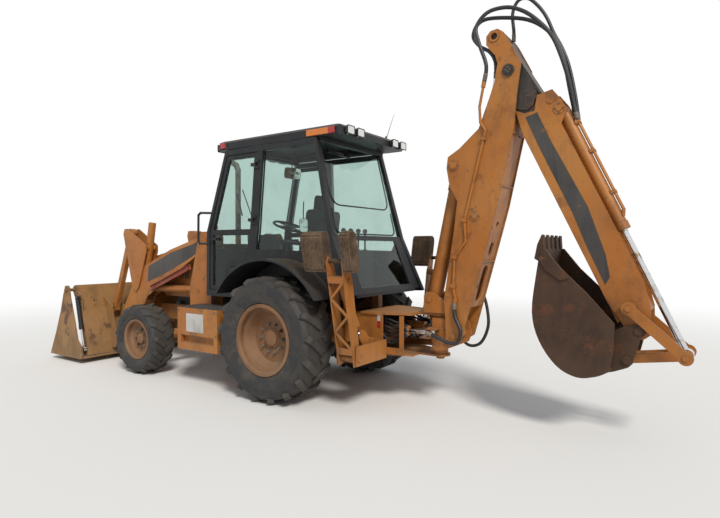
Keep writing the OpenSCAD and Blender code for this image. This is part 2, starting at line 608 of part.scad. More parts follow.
module loader_links() color(orange) arm_frame() both() difference() {
  union() {
    framed_between(bell_top, bucket_lever) box([0, arm_y - 30, -36], [norm(bucket_lever - bell_top), arm_y + 30, 36]);
    bar(bell_top, 110, 70, arm_y);
    bar(bucket_lever, 84, 70, arm_y);
  }
  bar(bell_top, 45 + pin_gap, 72, arm_y);
  bar(bucket_lever, 45 + pin_gap, 72, arm_y);
}
module framed_between(a, b) framed(a, heading(a, b)) children();
module tilt_barrels() color(orange) arm_frame() both() difference() {
  union() {
    framed_between(trunnion, tilt_rod_pin) translate([-330, arm_y, 0]) rotate([0, 90, 0]) cylinder(d = tilt_d, h = 610);
    bar(trunnion, 80, tilt_d + 24, arm_y);
  }
  framed_between(trunnion, tilt_rod_pin) translate([-300, arm_y, 0]) rotate([0, 90, 0]) cylinder(d = 46, h = 600);
  pin_heads(trunnion, 40 + pin_gap, tilt_d / 2 - 4, tilt_d, arm_y);
}
module tilt_rods() color(chrome) arm_frame() both() rod(trunnion, tilt_rod_pin, -200, 45, 45, 60, arm_y);
module lift_barrels() color(orange) machine() both() barrel(lift_foot, on_arm(lift_pin), lift_d, 890, 50, 45, 80, arm_y);
module lift_rods() color(chrome) machine() both() rod(lift_foot, on_arm(lift_pin), 60, 50, 45, 60, arm_y);

// Loader bucket: a fixed back with a clam that opens about its top corners
module bucket_frame() machine() translate([on_arm([arm_len, 0])[0], 0, on_arm([arm_len, 0])[1]]) children();
clam_pin = [480, 700];
clam_foot = [330, 600];
clam_eye = [170, -60];
back_half = bucket_w / 2 - 100;
back_line = [[160, -150], [175, 0], [230, 200], [295, 400], [375, 580], [460, 760]];
module loader_bucket() color(worn) bucket_frame() {
  n = len(back_line);
  plate(concat(back_line, [for (i = [n - 1 : -1 : 0]) back_line[i] + [bucket_t + 4, 0]]), 0, 2 * back_half);
  // Ribs down the back
  for (y = [-240, 240]) plate([[120, -120], [165, -130], [190, 60], [232, 200], [297, 400], [377, 575], [340, 560], [170, 200]], y, 14);
  both() {
    // Ears for the arms and the tilt links
    for (s = [-1, 1]) plate([[-70, -50], [60, -75], [163, -100], [177, 0], [232, 200], [297, 400], [377, 580], [330, 580],
      [150, 470], [120, 300], [60, 120], [-50, 60], [-75, 0]], arm_y + s * (arm_w / 2 + run + 8), 16);
    bar([0, 0], 50, arm_w + 2 * run + 30, arm_y);
    // End cheek with the clam's pin and its cylinder's foot pin
    plate([[200, -140], [210, 0], [255, 200], [290, 380], [292, 590], [330, 640], [395, 680], [430, 745], [500, 745], [525, 700], [500, 655],
      [330, 380], [270, 0], [270, -140]], back_half - 8, 16);
    bar(clam_pin, 40, 130, back_half + 60);
    bar(clam_foot, 30, 75, back_half + 28);
  }
}
module clam() color(worn) bucket_frame() {
  both() difference() {
    plate([clam_pin + [-55, 30], clam_pin + [-20, 60], clam_pin + [40, 55], clam_pin + [90, -60], [640, 420], [770, 120], [905, -150],
      [905, -185], [150, -185], [130, -150], [140, -20], [230, 60], [300, 300], [400, 600]], bucket_w / 2 - 10, 20);
    bar(clam_pin, 40 + pin_gap, 60, bucket_w / 2 - 10);
  }
  plate([[150, -185], [905, -185], [935, -176], [905, -167], [150, -160]], 0, bucket_w - 2);
}
module clam_barrels() color(black) bucket_frame() both() barrel(clam_foot, clam_eye, 56, 420, 32, 30, 40, back_half + 38);
module clam_rods() color(chrome) bucket_frame() both() rod(clam_foot, clam_eye, 100, 32, 30, 36, back_half + 38);

module swing_tower() color(orange) machine() {
  // Post through both bosses
  translate([swing_x, 0, rear_low - 30]) cylinder(d = 80, h = rear_high - rear_low + 42);
  translate([swing_x, 0, rear_low + plate_t + 1]) cylinder(d = 150, h = rear_high - rear_low - 2 * plate_t - 2);
  for (s = [-1, 1]) {
    // Cheeks that reach round the upper boss
    plate([[swing_x + 30, 540], [swing_x + 30, rear_high - 40], [swing_x - 105, rear_high - 40], [swing_x - 105, rear_high + 8],
      [boom_cyl_foot[0] + 60, rear_high + 8], [boom_cyl_foot[0] + 60, 1060], [boom_cyl_foot[0] + 30, 1095],
      [boom_cyl_foot[0] - 30, 1095], [swing_x - 150, 980], [boom_foot[0] - 50, 790], [boom_foot[0] - 75, 700],
      [boom_foot[0] - 40, 620], [swing_x - 60, 540]], s * 110, 24);
    for (z = [swing_z - 45, swing_z + 31]) translate([swing_x, 0, z]) linear_extrude(height = 14)
      polygon([[-60, s * 60], [-50, s * (swing_arm + 40)], [50, s * (swing_arm + 40)], [60, s * 60]]);
  }
  bar(boom_foot, 60, boom_w + 12);
  bar(boom_cyl_foot, 60, 270);
}

module boom_frame() machine() framed(boom_foot, boom_angle) children();
boom_rear = [[2469, 97], [2206, 119], [1984, 147], [1918, 155], [1250, 155], [936, 140], [519, 117], [138, 95], [0, 85]];
boom_front = [[-80, 0], [-60, -60], [150, -110], [300, -160], [483, -170], [960, -200], [1220, -225], [1340, -330],
  [1500, -396], [1600, -405], [1690, -309], [1885, -162], [2163, -120], [2294, -104], [2450, -112], [2520, -150],
  [2562, -205], [2604, -250], [2675, -266], [2724, -238], [2745, -175], [2716, -114], [2667, -66]];
crank_on_boom = turned(crank_pin, dipper_angle - boom_angle) + [boom_len, 0];
module stadium(u, l, w) {
  for (x = [u, u + l]) translate([x, 0]) circle(d = w);
  translate([u, -w / 2]) square([l, w]);
}
module boom() color(orange) boom_frame() {
  boom_box();
  boom_ends();
  boom_line();
}
module boom_box() difference() {
  union() {
    for (s = [-1, 1]) plate(concat(boom_front, boom_rear), s * (boom_w - boom_t) / 2, boom_t);
    // Rear flange between the side plates, with two lifting slots
    difference() {
      plate([[300, 95], [519, 105], [936, 128], [1250, 143], [1918, 143], [2000, 137], [2000, 117], [1918, 128], [1250, 128],
        [936, 113], [519, 90], [300, 80]], 0, boom_w - 2 * boom_t);
      translate([0, 0, 60]) linear_extrude(height = 100) {
        stadium(400, 240, 110);
        stadium(820, 60, 70);
        stadium(1080, 0.1, 56);
      }
    }
    // Stiffening ribs across the flange
    for (u = [730, 1420, 1880]) box([u, boom_t - boom_w / 2, 105], [u + 14, boom_w / 2 - boom_t, u < 1000 ? 128 : 154]);
    // Rings around the access holes of the crank pin
    for (s = [-1, 1]) bar(crank_on_boom, 96, boom_t + 16, s * (boom_w - boom_t) / 2);
  }
  for (p = [[0, 0], [boom_len, 0]]) bar(p, 60 + pin_gap, boom_w + 10);
  bar(crank_on_boom, 60, boom_w + 40);
}
module boom_ends() {
  // Foot pin of the crowd cylinder and the heads of the boom cylinder's pin
  bar(mid_pin, 50, boom_w + 32);
  pin_heads(mid_pin, 92, boom_w / 2 - 1, boom_w / 2 + 7);
  pin_heads(hump_pin, 70, boom_w / 2 - 2, boom_w / 2 + 18);
  pin_heads(hump_pin, 104, boom_w / 2 - 1, boom_w / 2 + 7);
}
// Steel oil line up the left plate, with its clamps
line_y = boom_w / 2 + 15;
line_uv = [[337, -43], [457, -90], [719, -134], [877, -60], [1067, -112], [1804, -90], [1870, -88], [1936, -150], [2071, -188], [2262, -192]];
module boom_line() {
  pipe([for (p = line_uv) [p[0], line_y, p[1]]], 24);
  for (i = [1, 2, 4, 5]) box([line_uv[i][0] - 16, boom_w / 2 - 1, line_uv[i][1] - 24], [line_uv[i][0] + 16, line_y + 16, line_uv[i][1] + 24]);
  for (i = [0, len(line_uv) - 1]) bar_x([line_uv[i][0], line_y, line_uv[i][1]], 38, 50);
}
module boom_barrel() color(orange) machine() barrel(boom_cyl_foot, on_boom(hump_pin), boom_cyl_d, 1100, 65, 60, 120);
module boom_rod() color(chrome) machine() rod(boom_cyl_foot, on_boom(hump_pin), 200, 65, 60, 120);

module dipper_frame() machine() framed(boom_tip, dipper_angle) children();
// The dipper's head turns between the boom's plates and carries the inner tube
module dipper() color(black) dipper_frame() {
  w = slide_w - 24 - 2 * slide_gap;
  head = boom_w / 2 - boom_t - run - 6;
  for (s = [-1, 1]) {
    plate([[-371, 41], [-390, -20], [-370, -86], [-335, -101], [17, -119], [280, -112], [330, -92], [372, -50], [385, 10],
      [340, 72], [300, 92], [150, 98], [60, 110], [0, 118], [-80, 80], [-127, 40], [-254, 57]], s * (w / 2 + 8), 16);
    for (p = [[0, 0], crank_pin]) bar(p, 116, head - w / 2, s * (head + w / 2) / 2);
  }
  // Rear flange from the crank to the tube
  plate([[-334, -100], [17, -118], [312, -146], [312, -130], [160, -110], [17, -106], [-334, -88]], 0, w + 2);
  pin_heads(crank_pin, 50, w / 2, head + 3);
  bar([0, 0], 60, boom_w + 44);
  pin_heads([0, 0], 104, boom_w / 2 + 2, boom_w / 2 + 14);
  difference() {
    box([140, -w / 2, -118], [dipper_len - 420, w / 2, 100]);
    box([160, -w / 2 + 14, -104], [dipper_len - 400, w / 2 - 14, 86]);
  }
  // Wear pads that guide the sliding section
  pad_t = slide_gap - seat_gap;
  x = dipper_len - 500;
  for (s = [-1, 1]) {
    box([x, min(s * w / 2, s * (w / 2 + pad_t)), -70], [x + 70, max(s * w / 2, s * (w / 2 + pad_t)), 50]);
    box([x, -70, s < 0 ? -118 - pad_t : 100], [x + 70, 70, s < 0 ? -118 : 100 + pad_t]);
  }
}
module crowd_barrel() color(orange) machine() barrel(on_boom(mid_pin), on_dipper(crank_pin), crowd_cyl_d, 860, 60, 50, 110);
module crowd_rod() color(chrome) machine() rod(on_boom(mid_pin), on_dipper(crank_pin), 600, 60, 50, 110);

module slide() difference() {
  union() {
    for (s = [-1, 1]) plate([[320, -110], [347, -235], [470, -262], [565, -262], [640, -178], [2055, -186], [2258, -147], [dipper_len + 60, -60],
      [dipper_len + 75, 10], [dipper_len + 20, 75], [2100, 118], [552, 133], [334, 100], [399, 47], [427, -35]], s * (slide_w / 2 - 6), 12);
    for (v = [-118 - slide_gap - 12, 100 + slide_gap]) box([460, -slide_w / 2 + 12, v], [2280, slide_w / 2 - 12, v + 12]);
  }
  for (p = [[dipper_len, 0], link_pin]) bar(p, 50 + pin_gap, slide_w + 2);
}
module extension() color(orange) dipper_frame() {
  slide();
  bar(curl_foot, 50, slide_w + 24);
  pin_heads(curl_foot, 92, slide_w / 2 - 1, slide_w / 2 + 6);
  pin_heads([417, -190], 66, slide_w / 2 - 1, slide_w / 2 + 8);
}
module curl_barrel() color(orange) dipper_frame() {
  barrel(curl_foot, joint_pin, curl_cyl_d, 1110, 55, 50, 90);
  // Oil line along the barrel
  framed_between(curl_foot, joint_pin) for (y = [-26, 26]) {
    pipe([[150, y, -curl_cyl_d / 2 - 18], [960, y, -curl_cyl_d / 2 - 18], [1010, y, -curl_cyl_d / 2 + 8]], 20);
    for (x = [150, 420, 800]) box([x - 14, y - 15, -curl_cyl_d / 2 - 32], [x + 14, y + 15, 10 - curl_cyl_d / 2]);
  }
}
module curl_rod() color(chrome) dipper_frame() rod(curl_foot, joint_pin, 790, 55, 50, 80);
module link_bar(a, b, w, y, t) framed(a, heading(a, b)) {
  box([0, y - t / 2, -w / 2], [norm(b - a), y + t / 2, w / 2]);
  for (x = [0, norm(b - a)]) bar([x, 0], w * 1.3, t, y);
}
module curl_links() color(orange) dipper_frame() {
  for (s = [-1, 1]) link_bar(link_pin, joint_pin, 80, s * (slide_w / 2 + 44), 24);
  bar(link_pin, 50, slide_w + 136);
  pin_heads(joint_pin, 45, 52, slide_w / 2 + 66);
}
module push_link() color(orange) dipper_frame() difference() {
  for (s = [-1, 1]) link_bar(joint_pin, bucket_link_pin, 70, s * 80, 24);
  bar(joint_pin, 45 + pin_gap, 240);
}
// Digging bucket: its back runs from the lip round to the top by the pins
lip = [-868, 363];
bucket_back = spline([lip, [-700, 480], [-430, 645], [-200, 692], [30, 650], [165, 540], [205, 400], [200, 300]], 4);
lip_dir = (lip - [-700, 480]) / norm(lip - [-700, 480]);
function at_lip(a, b) = lip + a * lip_dir + b * [-lip_dir[1], lip_dir[0]];
module hoe_bucket() color(rusty) dipper_frame() translate([dipper_len, 0, 0]) {
  for (s = [-1, 1]) {
    plate(concat(bucket_back, [[60, 200], [-117, 108], [-400, 190], [-654, 285], [-850, 332]]), s * (hoe_w / 2 - 8), 16);
    // Side cutters
    plate([[-850, 332], [-654, 285], [-560, 262], [-575, 330], [-700, 400], [-800, 408]], s * (hoe_w / 2 + 7), 16);
    // Ears for the pins
    plate([[-50, 0], [-36, -34], [0, -46], [36, -34], [60, 20], [160, 100], [215, 150], [230, 190], [225, 300], [205, 420],
      [100, 360], [-60, 300], [-70, 60]], s * (slide_w / 2 + 20), 16);
  }
  plate(concat(bucket_back, reversed(beside(bucket_back, -20))), 0, hoe_w - 2);
  // Wear strips around the back, then the teeth on the lip
  for (y = [-180, 0, 180]) plate(concat([for (i = [8 : 20]) bucket_back[i]], reversed([for (i = [8 : 20]) beside(bucket_back, 14)[i]])), y, 60);
  for (i = [-2 : 2]) plate([at_lip(-110, 18), at_lip(10, 22), at_lip(112, -2), at_lip(114, -12), at_lip(30, -34), at_lip(-90, -38)],
    i * (hoe_w - 70) / 4, 58);
  bar([0, 0], 50, slide_w + 70);
  pin_heads([0, 0], 64, slide_w / 2 + 27, slide_w / 2 + 38);
  pin_heads([174, 172], 60, slide_w / 2 + 28, slide_w / 2 + 44);
}

module leg_frame(s) machine() mirror([0, s < 0 ? 1 : 0, 0]) translate(leg_pivot) rotate([90 - leg_lean, 0, 0]) children();
module leg(s) color(orange) leg_frame(s) {
  difference() {
    for (x = [-leg_w / 2, leg_w / 2 - 14]) translate([x, 0, 0]) rotate([90, 0, 90]) linear_extrude(height = 14)
      polygon([[-60, -50], [-60, 50], [leg_cyl_foot[0], 80], [leg_len, 40], [leg_len + 40, 0], [leg_len, -40]]);
    bar_x([0, 0, 0], 50 + pin_gap, 300);
    bar_x([0, leg_len, 0], 40 + pin_gap, 300);
  }
  // Zigzag lattice between the rails
  half = leg_w / 2 - 10;
  step = (leg_len - 280) / 4;
  for (i = [0 : 3]) {
    side = i % 2 == 0 ? 1 : -1;
    translate([0, 100 + i * step, -50]) linear_extrude(height = 12)
      polygon([[-side * half, -16], [-side * half, 14], [side * half, step + 16], [side * half, step - 14]]);
  }
  for (y = [50, leg_len - 190]) box([-leg_w / 2 + 5, y, -50], [leg_w / 2 - 5, y + 60, -38]);
  bar_x([0, leg_cyl_foot[0], leg_cyl_foot[1]], 40, leg_w + 30);
}
module leg_left() leg(1);
module leg_right() leg(-1);
leg_cyl_foot = [720, 30];
leg_cyl_eye = [154, 184];
// A leg's own upright plane: first axis along the leg, second inboard
module leg_plane(s) leg_frame(s) rotate([0, 0, 90]) children();
module leg_barrel(s) color(orange) leg_plane(s) barrel(leg_cyl_foot, leg_cyl_eye, 80, 480, 40, 40, 90);
module leg_barrel_left() leg_barrel(1);
module leg_barrel_right() leg_barrel(-1);
module leg_rod(s) color(chrome) leg_plane(s) rod(leg_cyl_foot, leg_cyl_eye, 75, 40, 40, 70);
module leg_rod_left() leg_rod(1);
module leg_rod_right() leg_rod(-1);
// A pad: rubber strips clamped side by side on both sides of the leg
pad_outline = [[-60, -60], [215, -60], [260, -20], [260, 20], [215, 60], [-60, 60], [-100, 20], [-100, -20]];
module strips(x, n) {
  pitch = 26;
  for (i = [0 : n - 1]) translate([x + i * pitch, 0, 0]) rotate([90, 0, 90])
    linear_extrude(height = pitch - 6) polygon(pad_outline);
  box([x, -88, -50], [x + n * pitch - 6, 246, 50]);
}
module pad(s) color(rubber) leg_frame(s) translate([0, leg_len, 0]) {
  strips(-200, 4);
  strips(leg_w / 2 + run, 9);
  bar_x([70, 0, 0], 40, 520);
}
module pad_left() pad(1);
module pad_right() pad(-1);

// Hoses that loop over the boom's tip to the dipper's cylinders
module top_hoses() color(black) machine() {
  start = on_boom([line_uv[len(line_uv) - 1][0] + 26 + seat_gap, -192]);
  left = on_dipper(curl_foot + [128, -curl_cyl_d / 2 - 18]);
  middle = on_dipper(curl_foot + [80, -curl_cyl_d / 2 - 17.5]);
  hose([[start[0], line_y, start[1]], [-1932, line_y, 3120], [-1860, 165, 3330], [-1829, 150, 3480], [-1921, 120, 3598], [-2087, 100, 3610],
    [-2232, 90, 3545], [-2359, 85, 3430], [-2469, 80, 3287], [-2540, 62, 3110], [-2600, 45, 2900], [-2636, 30, 2700], [left[0], 27, left[1]]], 34, 5);
  hose([[-1990, 90, 3020], [-1985, 90, 3160], [-1930, 85, 3260], [-1837, 80, 3330], [-1770, 75, 3430], [-1800, 60, 3533], [-1898, 50, 3572],
    [-2126, 40, 3530], [-2285, 30, 3470], [-2411, 15, 3370], [-2500, 4, 3240], [-2550, 0, 3084], [-2595, 0, 2850], [middle[0], 0, middle[1]]], 34, 5);
  hose([[-2110, -30, 3440], [-2095, -30, 3620], [-2142, -35, 3700], [-2225, -40, 3706], [-2310, -45, 3626], [-2385, -50, 3510],
    [-2450, -50, 3355], [-2525, -50, 3200], [-2585, -48, 3020], [-2640, -34, 2750], [left[0], -26, left[1]]], 30, 5);
}
// Hoses from the rear frame to the boom's foot
module foot_hoses() color(black) machine() {
  start = on_boom([line_uv[0][0] - 31 - seat_gap, -43]);
  hose([[-1380, 230, 720], [-1500, 232, 690], [-1600, 225, 650], [-1690, 215, 660], [-1718, 205, 760], [-1655, 188, 890], [start[0], line_y + 4, start[1]]], 36, 6);
  hose([[-1380, -231, 700], [-1500, -234, 640], [-1620, -230, 560], [-1740, -225, 600], [-1815, -215, 760], [-1810, -205, 930],
    [-1775, -190, 1080], [-1745, -178, 1180]], 30, 6);
}

chassis();
engine();
axles();
side_boxes();
hood();
cab_frame();
cab_glass();
door_left();
door_right();
door_glass_left();
door_glass_right();
seat();
lamps();
rear_frame();
knuckle_left();
knuckle_right();
front_rim_left();
front_rim_right();
front_tyre_left();
front_tyre_right();
rear_rim_left();
rear_rim_right();
rear_tyre_left();
rear_tyre_right();
loader_arms();
bellcranks();
loader_links();
loader_bucket();
clam();
lift_barrels();
lift_rods();
tilt_barrels();
tilt_rods();
clam_barrels();
clam_rods();
swing_tower();
swing_rod_left();
swing_rod_right();
boom();
boom_barrel();
boom_rod();
dipper();
crowd_barrel();
crowd_rod();
extension();
curl_barrel();
curl_rod();
curl_links();
push_link();
hoe_bucket();
leg_left();
leg_right();
leg_barrel_left();
leg_barrel_right();
leg_rod_left();
leg_rod_right();
pad_left();
pad_right();
top_hoses();
foot_hoses();
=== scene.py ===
# Looks of a backhoe loader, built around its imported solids
import json
import math
import bmesh
import bpy
from mathutils import Matrix, Vector


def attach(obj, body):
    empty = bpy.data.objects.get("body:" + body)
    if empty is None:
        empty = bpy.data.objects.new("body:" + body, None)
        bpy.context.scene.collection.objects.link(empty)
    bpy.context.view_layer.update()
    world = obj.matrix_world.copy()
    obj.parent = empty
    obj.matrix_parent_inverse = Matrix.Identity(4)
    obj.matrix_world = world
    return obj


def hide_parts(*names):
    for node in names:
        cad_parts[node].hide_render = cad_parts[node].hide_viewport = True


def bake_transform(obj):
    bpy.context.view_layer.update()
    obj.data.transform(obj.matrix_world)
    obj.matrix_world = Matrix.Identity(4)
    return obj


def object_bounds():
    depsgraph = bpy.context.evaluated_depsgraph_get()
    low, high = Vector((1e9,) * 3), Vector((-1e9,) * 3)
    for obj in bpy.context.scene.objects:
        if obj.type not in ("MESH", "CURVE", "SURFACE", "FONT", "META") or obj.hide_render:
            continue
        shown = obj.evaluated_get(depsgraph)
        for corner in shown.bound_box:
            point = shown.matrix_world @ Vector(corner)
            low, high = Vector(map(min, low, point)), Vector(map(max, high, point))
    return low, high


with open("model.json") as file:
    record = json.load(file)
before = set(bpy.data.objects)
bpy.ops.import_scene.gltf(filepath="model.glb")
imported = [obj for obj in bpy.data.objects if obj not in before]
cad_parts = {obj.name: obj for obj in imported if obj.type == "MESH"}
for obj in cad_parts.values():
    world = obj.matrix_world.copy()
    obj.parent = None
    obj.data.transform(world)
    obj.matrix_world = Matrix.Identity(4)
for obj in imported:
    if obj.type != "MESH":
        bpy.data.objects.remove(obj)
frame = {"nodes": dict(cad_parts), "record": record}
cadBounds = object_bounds()

# The frame lies 250 mm behind the rear axle; the sizes below are in mm from that axle
axleShift = -250


def at(x, y, z):
    return Vector(((x + axleShift) / 1000, y / 1000, z / 1000))


# Pins that carry the dressed pieces, as (x, z) and the angle of their arm
armPlace = ((1280, 1600), -37.33)
boomPlace = ((-1620, 700), 102.2)
dipperPlace = ((-2126.33, 3041.89), -115.44)


def onArm(place, u, v, y):
    (x, z), angle = place
    c, s = math.cos(math.radians(angle)), math.sin(math.radians(angle))
    return at(x + u * c - v * s, y, z + u * s + v * c)


# Camera at the photograph's view
cameraSpec = {"place": (-3.964, 4.726, 1.513), "yaw": -55.56, "pitch": -1.17, "roll": 0.07, "lens": 26.94}


def makeCamera():
    yaw, pitch, roll = (math.radians(cameraSpec[k]) for k in ("yaw", "pitch", "roll"))
    ahead = Vector((math.cos(yaw) * math.cos(pitch), math.sin(yaw) * math.cos(pitch), math.sin(pitch)))
    right = ahead.cross(Vector((0, 0, 1))).normalized()
    up = right.cross(ahead)
    right, up = right * math.cos(roll) + up * math.sin(roll), up * math.cos(roll) - right * math.sin(roll)
    data = bpy.data.cameras.new("camera")
    data.sensor_width = 36
    data.lens = cameraSpec["lens"]
    data.clip_end = 200
    cam = bpy.data.objects.new("camera", data)
    bpy.context.scene.collection.objects.link(cam)
    turn = Matrix((right, up, -ahead)).transposed().to_4x4()
    cam.matrix_world = Matrix.Translation(cameraSpec["place"]) @ turn
    bpy.context.scene.camera = cam


makeCamera()
print("camera placed")


# Helpers for node trees; addNode sets a node's own property, or else its input of that name
def addNode(tree, kind, **values):
    node = tree.nodes.new(kind)
    for key, value in values.items():
        if hasattr(node, key):
            setattr(node, key, value)
        else:
            node.inputs[key.replace("_", " ")].default_value = value
    return node


def wire(tree, source, target):
    tree.links.new(source, target)


def ramp(tree, source, low, high, outLow=0.0, outHigh=1.0):
    node = addNode(tree, "ShaderNodeMapRange", clamp=True)
    node.interpolation_type = "SMOOTHSTEP"
    for name, value in zip(("From Min", "From Max", "To Min", "To Max"), (low, high, outLow, outHigh)):
        node.inputs[name].default_value = value
    wire(tree, source, node.inputs["Value"])
    return node.outputs["Result"]


def maths(tree, operation, a, b):
    node = addNode(tree, "ShaderNodeMath", operation=operation)
    for socket, value in zip(node.inputs, (a, b)):
        if isinstance(value, (int, float)):
            socket.default_value = value
        else:
            wire(tree, value, socket)
    return node.outputs[0]


def blendColour(tree, factor, a, b):
    node = addNode(tree, "ShaderNodeMix", data_type="RGBA")
    for socket, value in ((node.inputs[0], factor), (node.inputs[6], a), (node.inputs[7], b)):
        if isinstance(value, tuple):
            socket.default_value = (*value, 1)
        elif isinstance(value, (int, float)):
            socket.default_value = value
        else:
            wire(tree, value, socket)
    return node.outputs[2]


def noise(tree, coords, scale, detail=4, rough=0.55, stretch=(1, 1, 1), shift=0.0):
    mapping = addNode(tree, "ShaderNodeMapping", Scale=stretch, Location=(shift, shift * 0.7, shift * 1.3))
    wire(tree, coords, mapping.inputs["Vector"])
    node = addNode(tree, "ShaderNodeTexNoise", Scale=scale, Detail=detail, Roughness=rough)
    wire(tree, mapping.outputs[0], node.inputs["Vector"])
    return node.outputs[0]


def startTree(holder):
    holder.use_nodes = True
    holder.node_tree.nodes.clear()
    return holder.node_tree


def startMaterial(name, **values):
    material = bpy.data.materials.new(name)
    tree = startTree(material)
    out = addNode(tree, "ShaderNodeOutputMaterial")
    shader = addNode(tree, "ShaderNodeBsdfPrincipled", **values)
    wire(tree, shader.outputs[0], out.inputs["Surface"])
    coords = addNode(tree, "ShaderNodeTexCoord").outputs["Object"]
    return material, tree, shader, coords


def bumpFrom(tree, shader, height, strength, distance):
    bump = addNode(tree, "ShaderNodeBump", Strength=strength, Distance=distance)
    wire(tree, height, bump.inputs["Height"])
    wire(tree, bump.outputs[0], shader.inputs["Normal"])


def edgeMask(tree, radius, low, high):
    # How far the rounded normal leaves the flat one: worn edges
    soft = addNode(tree, "ShaderNodeBevel", samples=4, Radius=radius)
    flat = addNode(tree, "ShaderNodeNewGeometry")
    dot = addNode(tree, "ShaderNodeVectorMath", operation="DOT_PRODUCT")
    wire(tree, soft.outputs[0], dot.inputs[0])
    wire(tree, flat.outputs["Normal"], dot.inputs[1])
    return ramp(tree, maths(tree, "SUBTRACT", 1.0, dot.outputs["Value"]), low, high)


dustColour = (0.25, 0.175, 0.108)
rustColour = (0.085, 0.032, 0.014)


# Noise of each pattern in worn paint; the shift keeps the patterns apart
paintNoise = {
    "broad": {"scale": 1.3, "detail": 3, "shift": 0},
    "fine": {"scale": 38, "detail": 6, "rough": 0.6, "shift": 0},
    "streak": {"scale": 5, "detail": 5, "rough": 0.6, "stretch": (3.2, 3.2, 0.5), "shift": 3},
    "grime": {"scale": 2.6, "detail": 7, "rough": 0.72, "stretch": (1, 1, 0.7), "shift": 31},
    "spots": {"scale": 9, "detail": 8, "rough": 0.7, "shift": 9},
    "scratch": {"scale": 34, "detail": 3, "rough": 0.5, "stretch": (0.18, 1, 1.6), "shift": 51},
    "patch": {"scale": 3.1, "detail": 2, "rough": 0.5, "shift": 61},
    "rust": {"scale": 4, "detail": 8, "rough": 0.68, "shift": 21},
    "flakes": {"scale": 14, "detail": 6, "rough": 0.7, "shift": 41},
}


def painted(name, base, faded, wear, dust, rust, bare=(0.16, 0.13, 0.11), rough=0.42, shift=0.0,
            sheen=0.42, above=None):
    material, tree, shader, coords = startMaterial(name, Specular_IOR_Level=sheen)

    def pattern(key):
        row = paintNoise[key]
        return noise(tree, coords, **{**row, "shift": shift + row["shift"]})

    broad, fine, streak = pattern("broad"), pattern("fine"), pattern("streak")
    colour = blendColour(tree, ramp(tree, broad, 0.35, 0.68), base, faded)
    colour = blendColour(tree, ramp(tree, streak, 0.5, 0.75, 0, 0.35), colour, tuple(c * 0.55 for c in base))
    # Soot and oil gather in large soft patches
    grime = ramp(tree, pattern("grime"), 0.46, 0.72, 0, 0.72)
    colour = blendColour(tree, grime, colour, tuple(c * 0.38 for c in base))
    # Chips along the edges and rubbed spots on the flats
    edge = maths(tree, "MULTIPLY", edgeMask(tree, 0.012, 0.02, 0.16), ramp(tree, fine, 0.4, 0.6))
    spots = ramp(tree, pattern("spots"), 0.66 - 0.06 * wear, 0.7 - 0.05 * wear)
    chips = maths(tree, "MAXIMUM", maths(tree, "MULTIPLY", edge, wear), maths(tree, "MULTIPLY", spots, wear))
    colour = blendColour(tree, chips, colour, bare)
    # Long thin scratches, only inside some patches
    scratch = ramp(tree, pattern("scratch"), 0.66, 0.7, 0, 0.55)
    patch = ramp(tree, pattern("patch"), 0.5, 0.62)
    colour = blendColour(tree, maths(tree, "MULTIPLY", scratch, patch), colour, bare)
    rusty = ramp(tree, pattern("rust"), 0.62 - 0.12 * rust, 0.7 - 0.1 * rust)
    colour = blendColour(tree, maths(tree, "MULTIPLY", rusty, min(1.0, rust * 1.6)), colour, rustColour)
    # Dust lies on what faces up and low down
    geometry = addNode(tree, "ShaderNodeNewGeometry")
    split = addNode(tree, "ShaderNodeSeparateXYZ")
    wire(tree, geometry.outputs["Normal"], split.inputs[0])
    place = addNode(tree, "ShaderNodeSeparateXYZ")
    wire(tree, coords, place.inputs[0])
    upward = ramp(tree, split.outputs["Z"], 0.25, 0.95)
    top = maths(tree, "MULTIPLY", upward, ramp(tree, broad, 0.25, 0.6, 0.5, 1))
    low = ramp(tree, place.outputs["Z"], 1.1, 0.1, 0, 0.45)
    film = ramp(tree, streak, 0.35, 0.7, 0, 0.25)
    dusty = maths(tree, "MULTIPLY", maths(tree, "MAXIMUM", maths(tree, "MAXIMUM", top, low), film), dust)
    colour = blendColour(tree, dusty, colour, dustColour)
    wire(tree, colour, shader.inputs["Base Color"])
    if above:
        # Bare metal pipe above a height, with flakes of rust
        limit, metal = above
        pipe = ramp(tree, place.outputs["Z"], limit, limit + 0.01)
        metal = blendColour(tree, ramp(tree, pattern("flakes"), 0.4, 0.62), metal, rustColour)
        wire(tree, blendColour(tree, pipe, colour, metal), shader.inputs["Base Color"])
    worn = maths(tree, "MAXIMUM", dusty, chips)
    dullness = maths(tree, "ADD", worn, maths(tree, "MULTIPLY", fine, 0.3))
    wire(tree, ramp(tree, dullness, 0.0, 1.0, rough, 0.85), shader.inputs["Roughness"])
    height = maths(tree, "SUBTRACT", maths(tree, "MULTIPLY", fine, 0.25), maths(tree, "MULTIPLY", chips, 0.8))
    bumpFrom(tree, shader, height, 0.35, 0.0012)
    return material


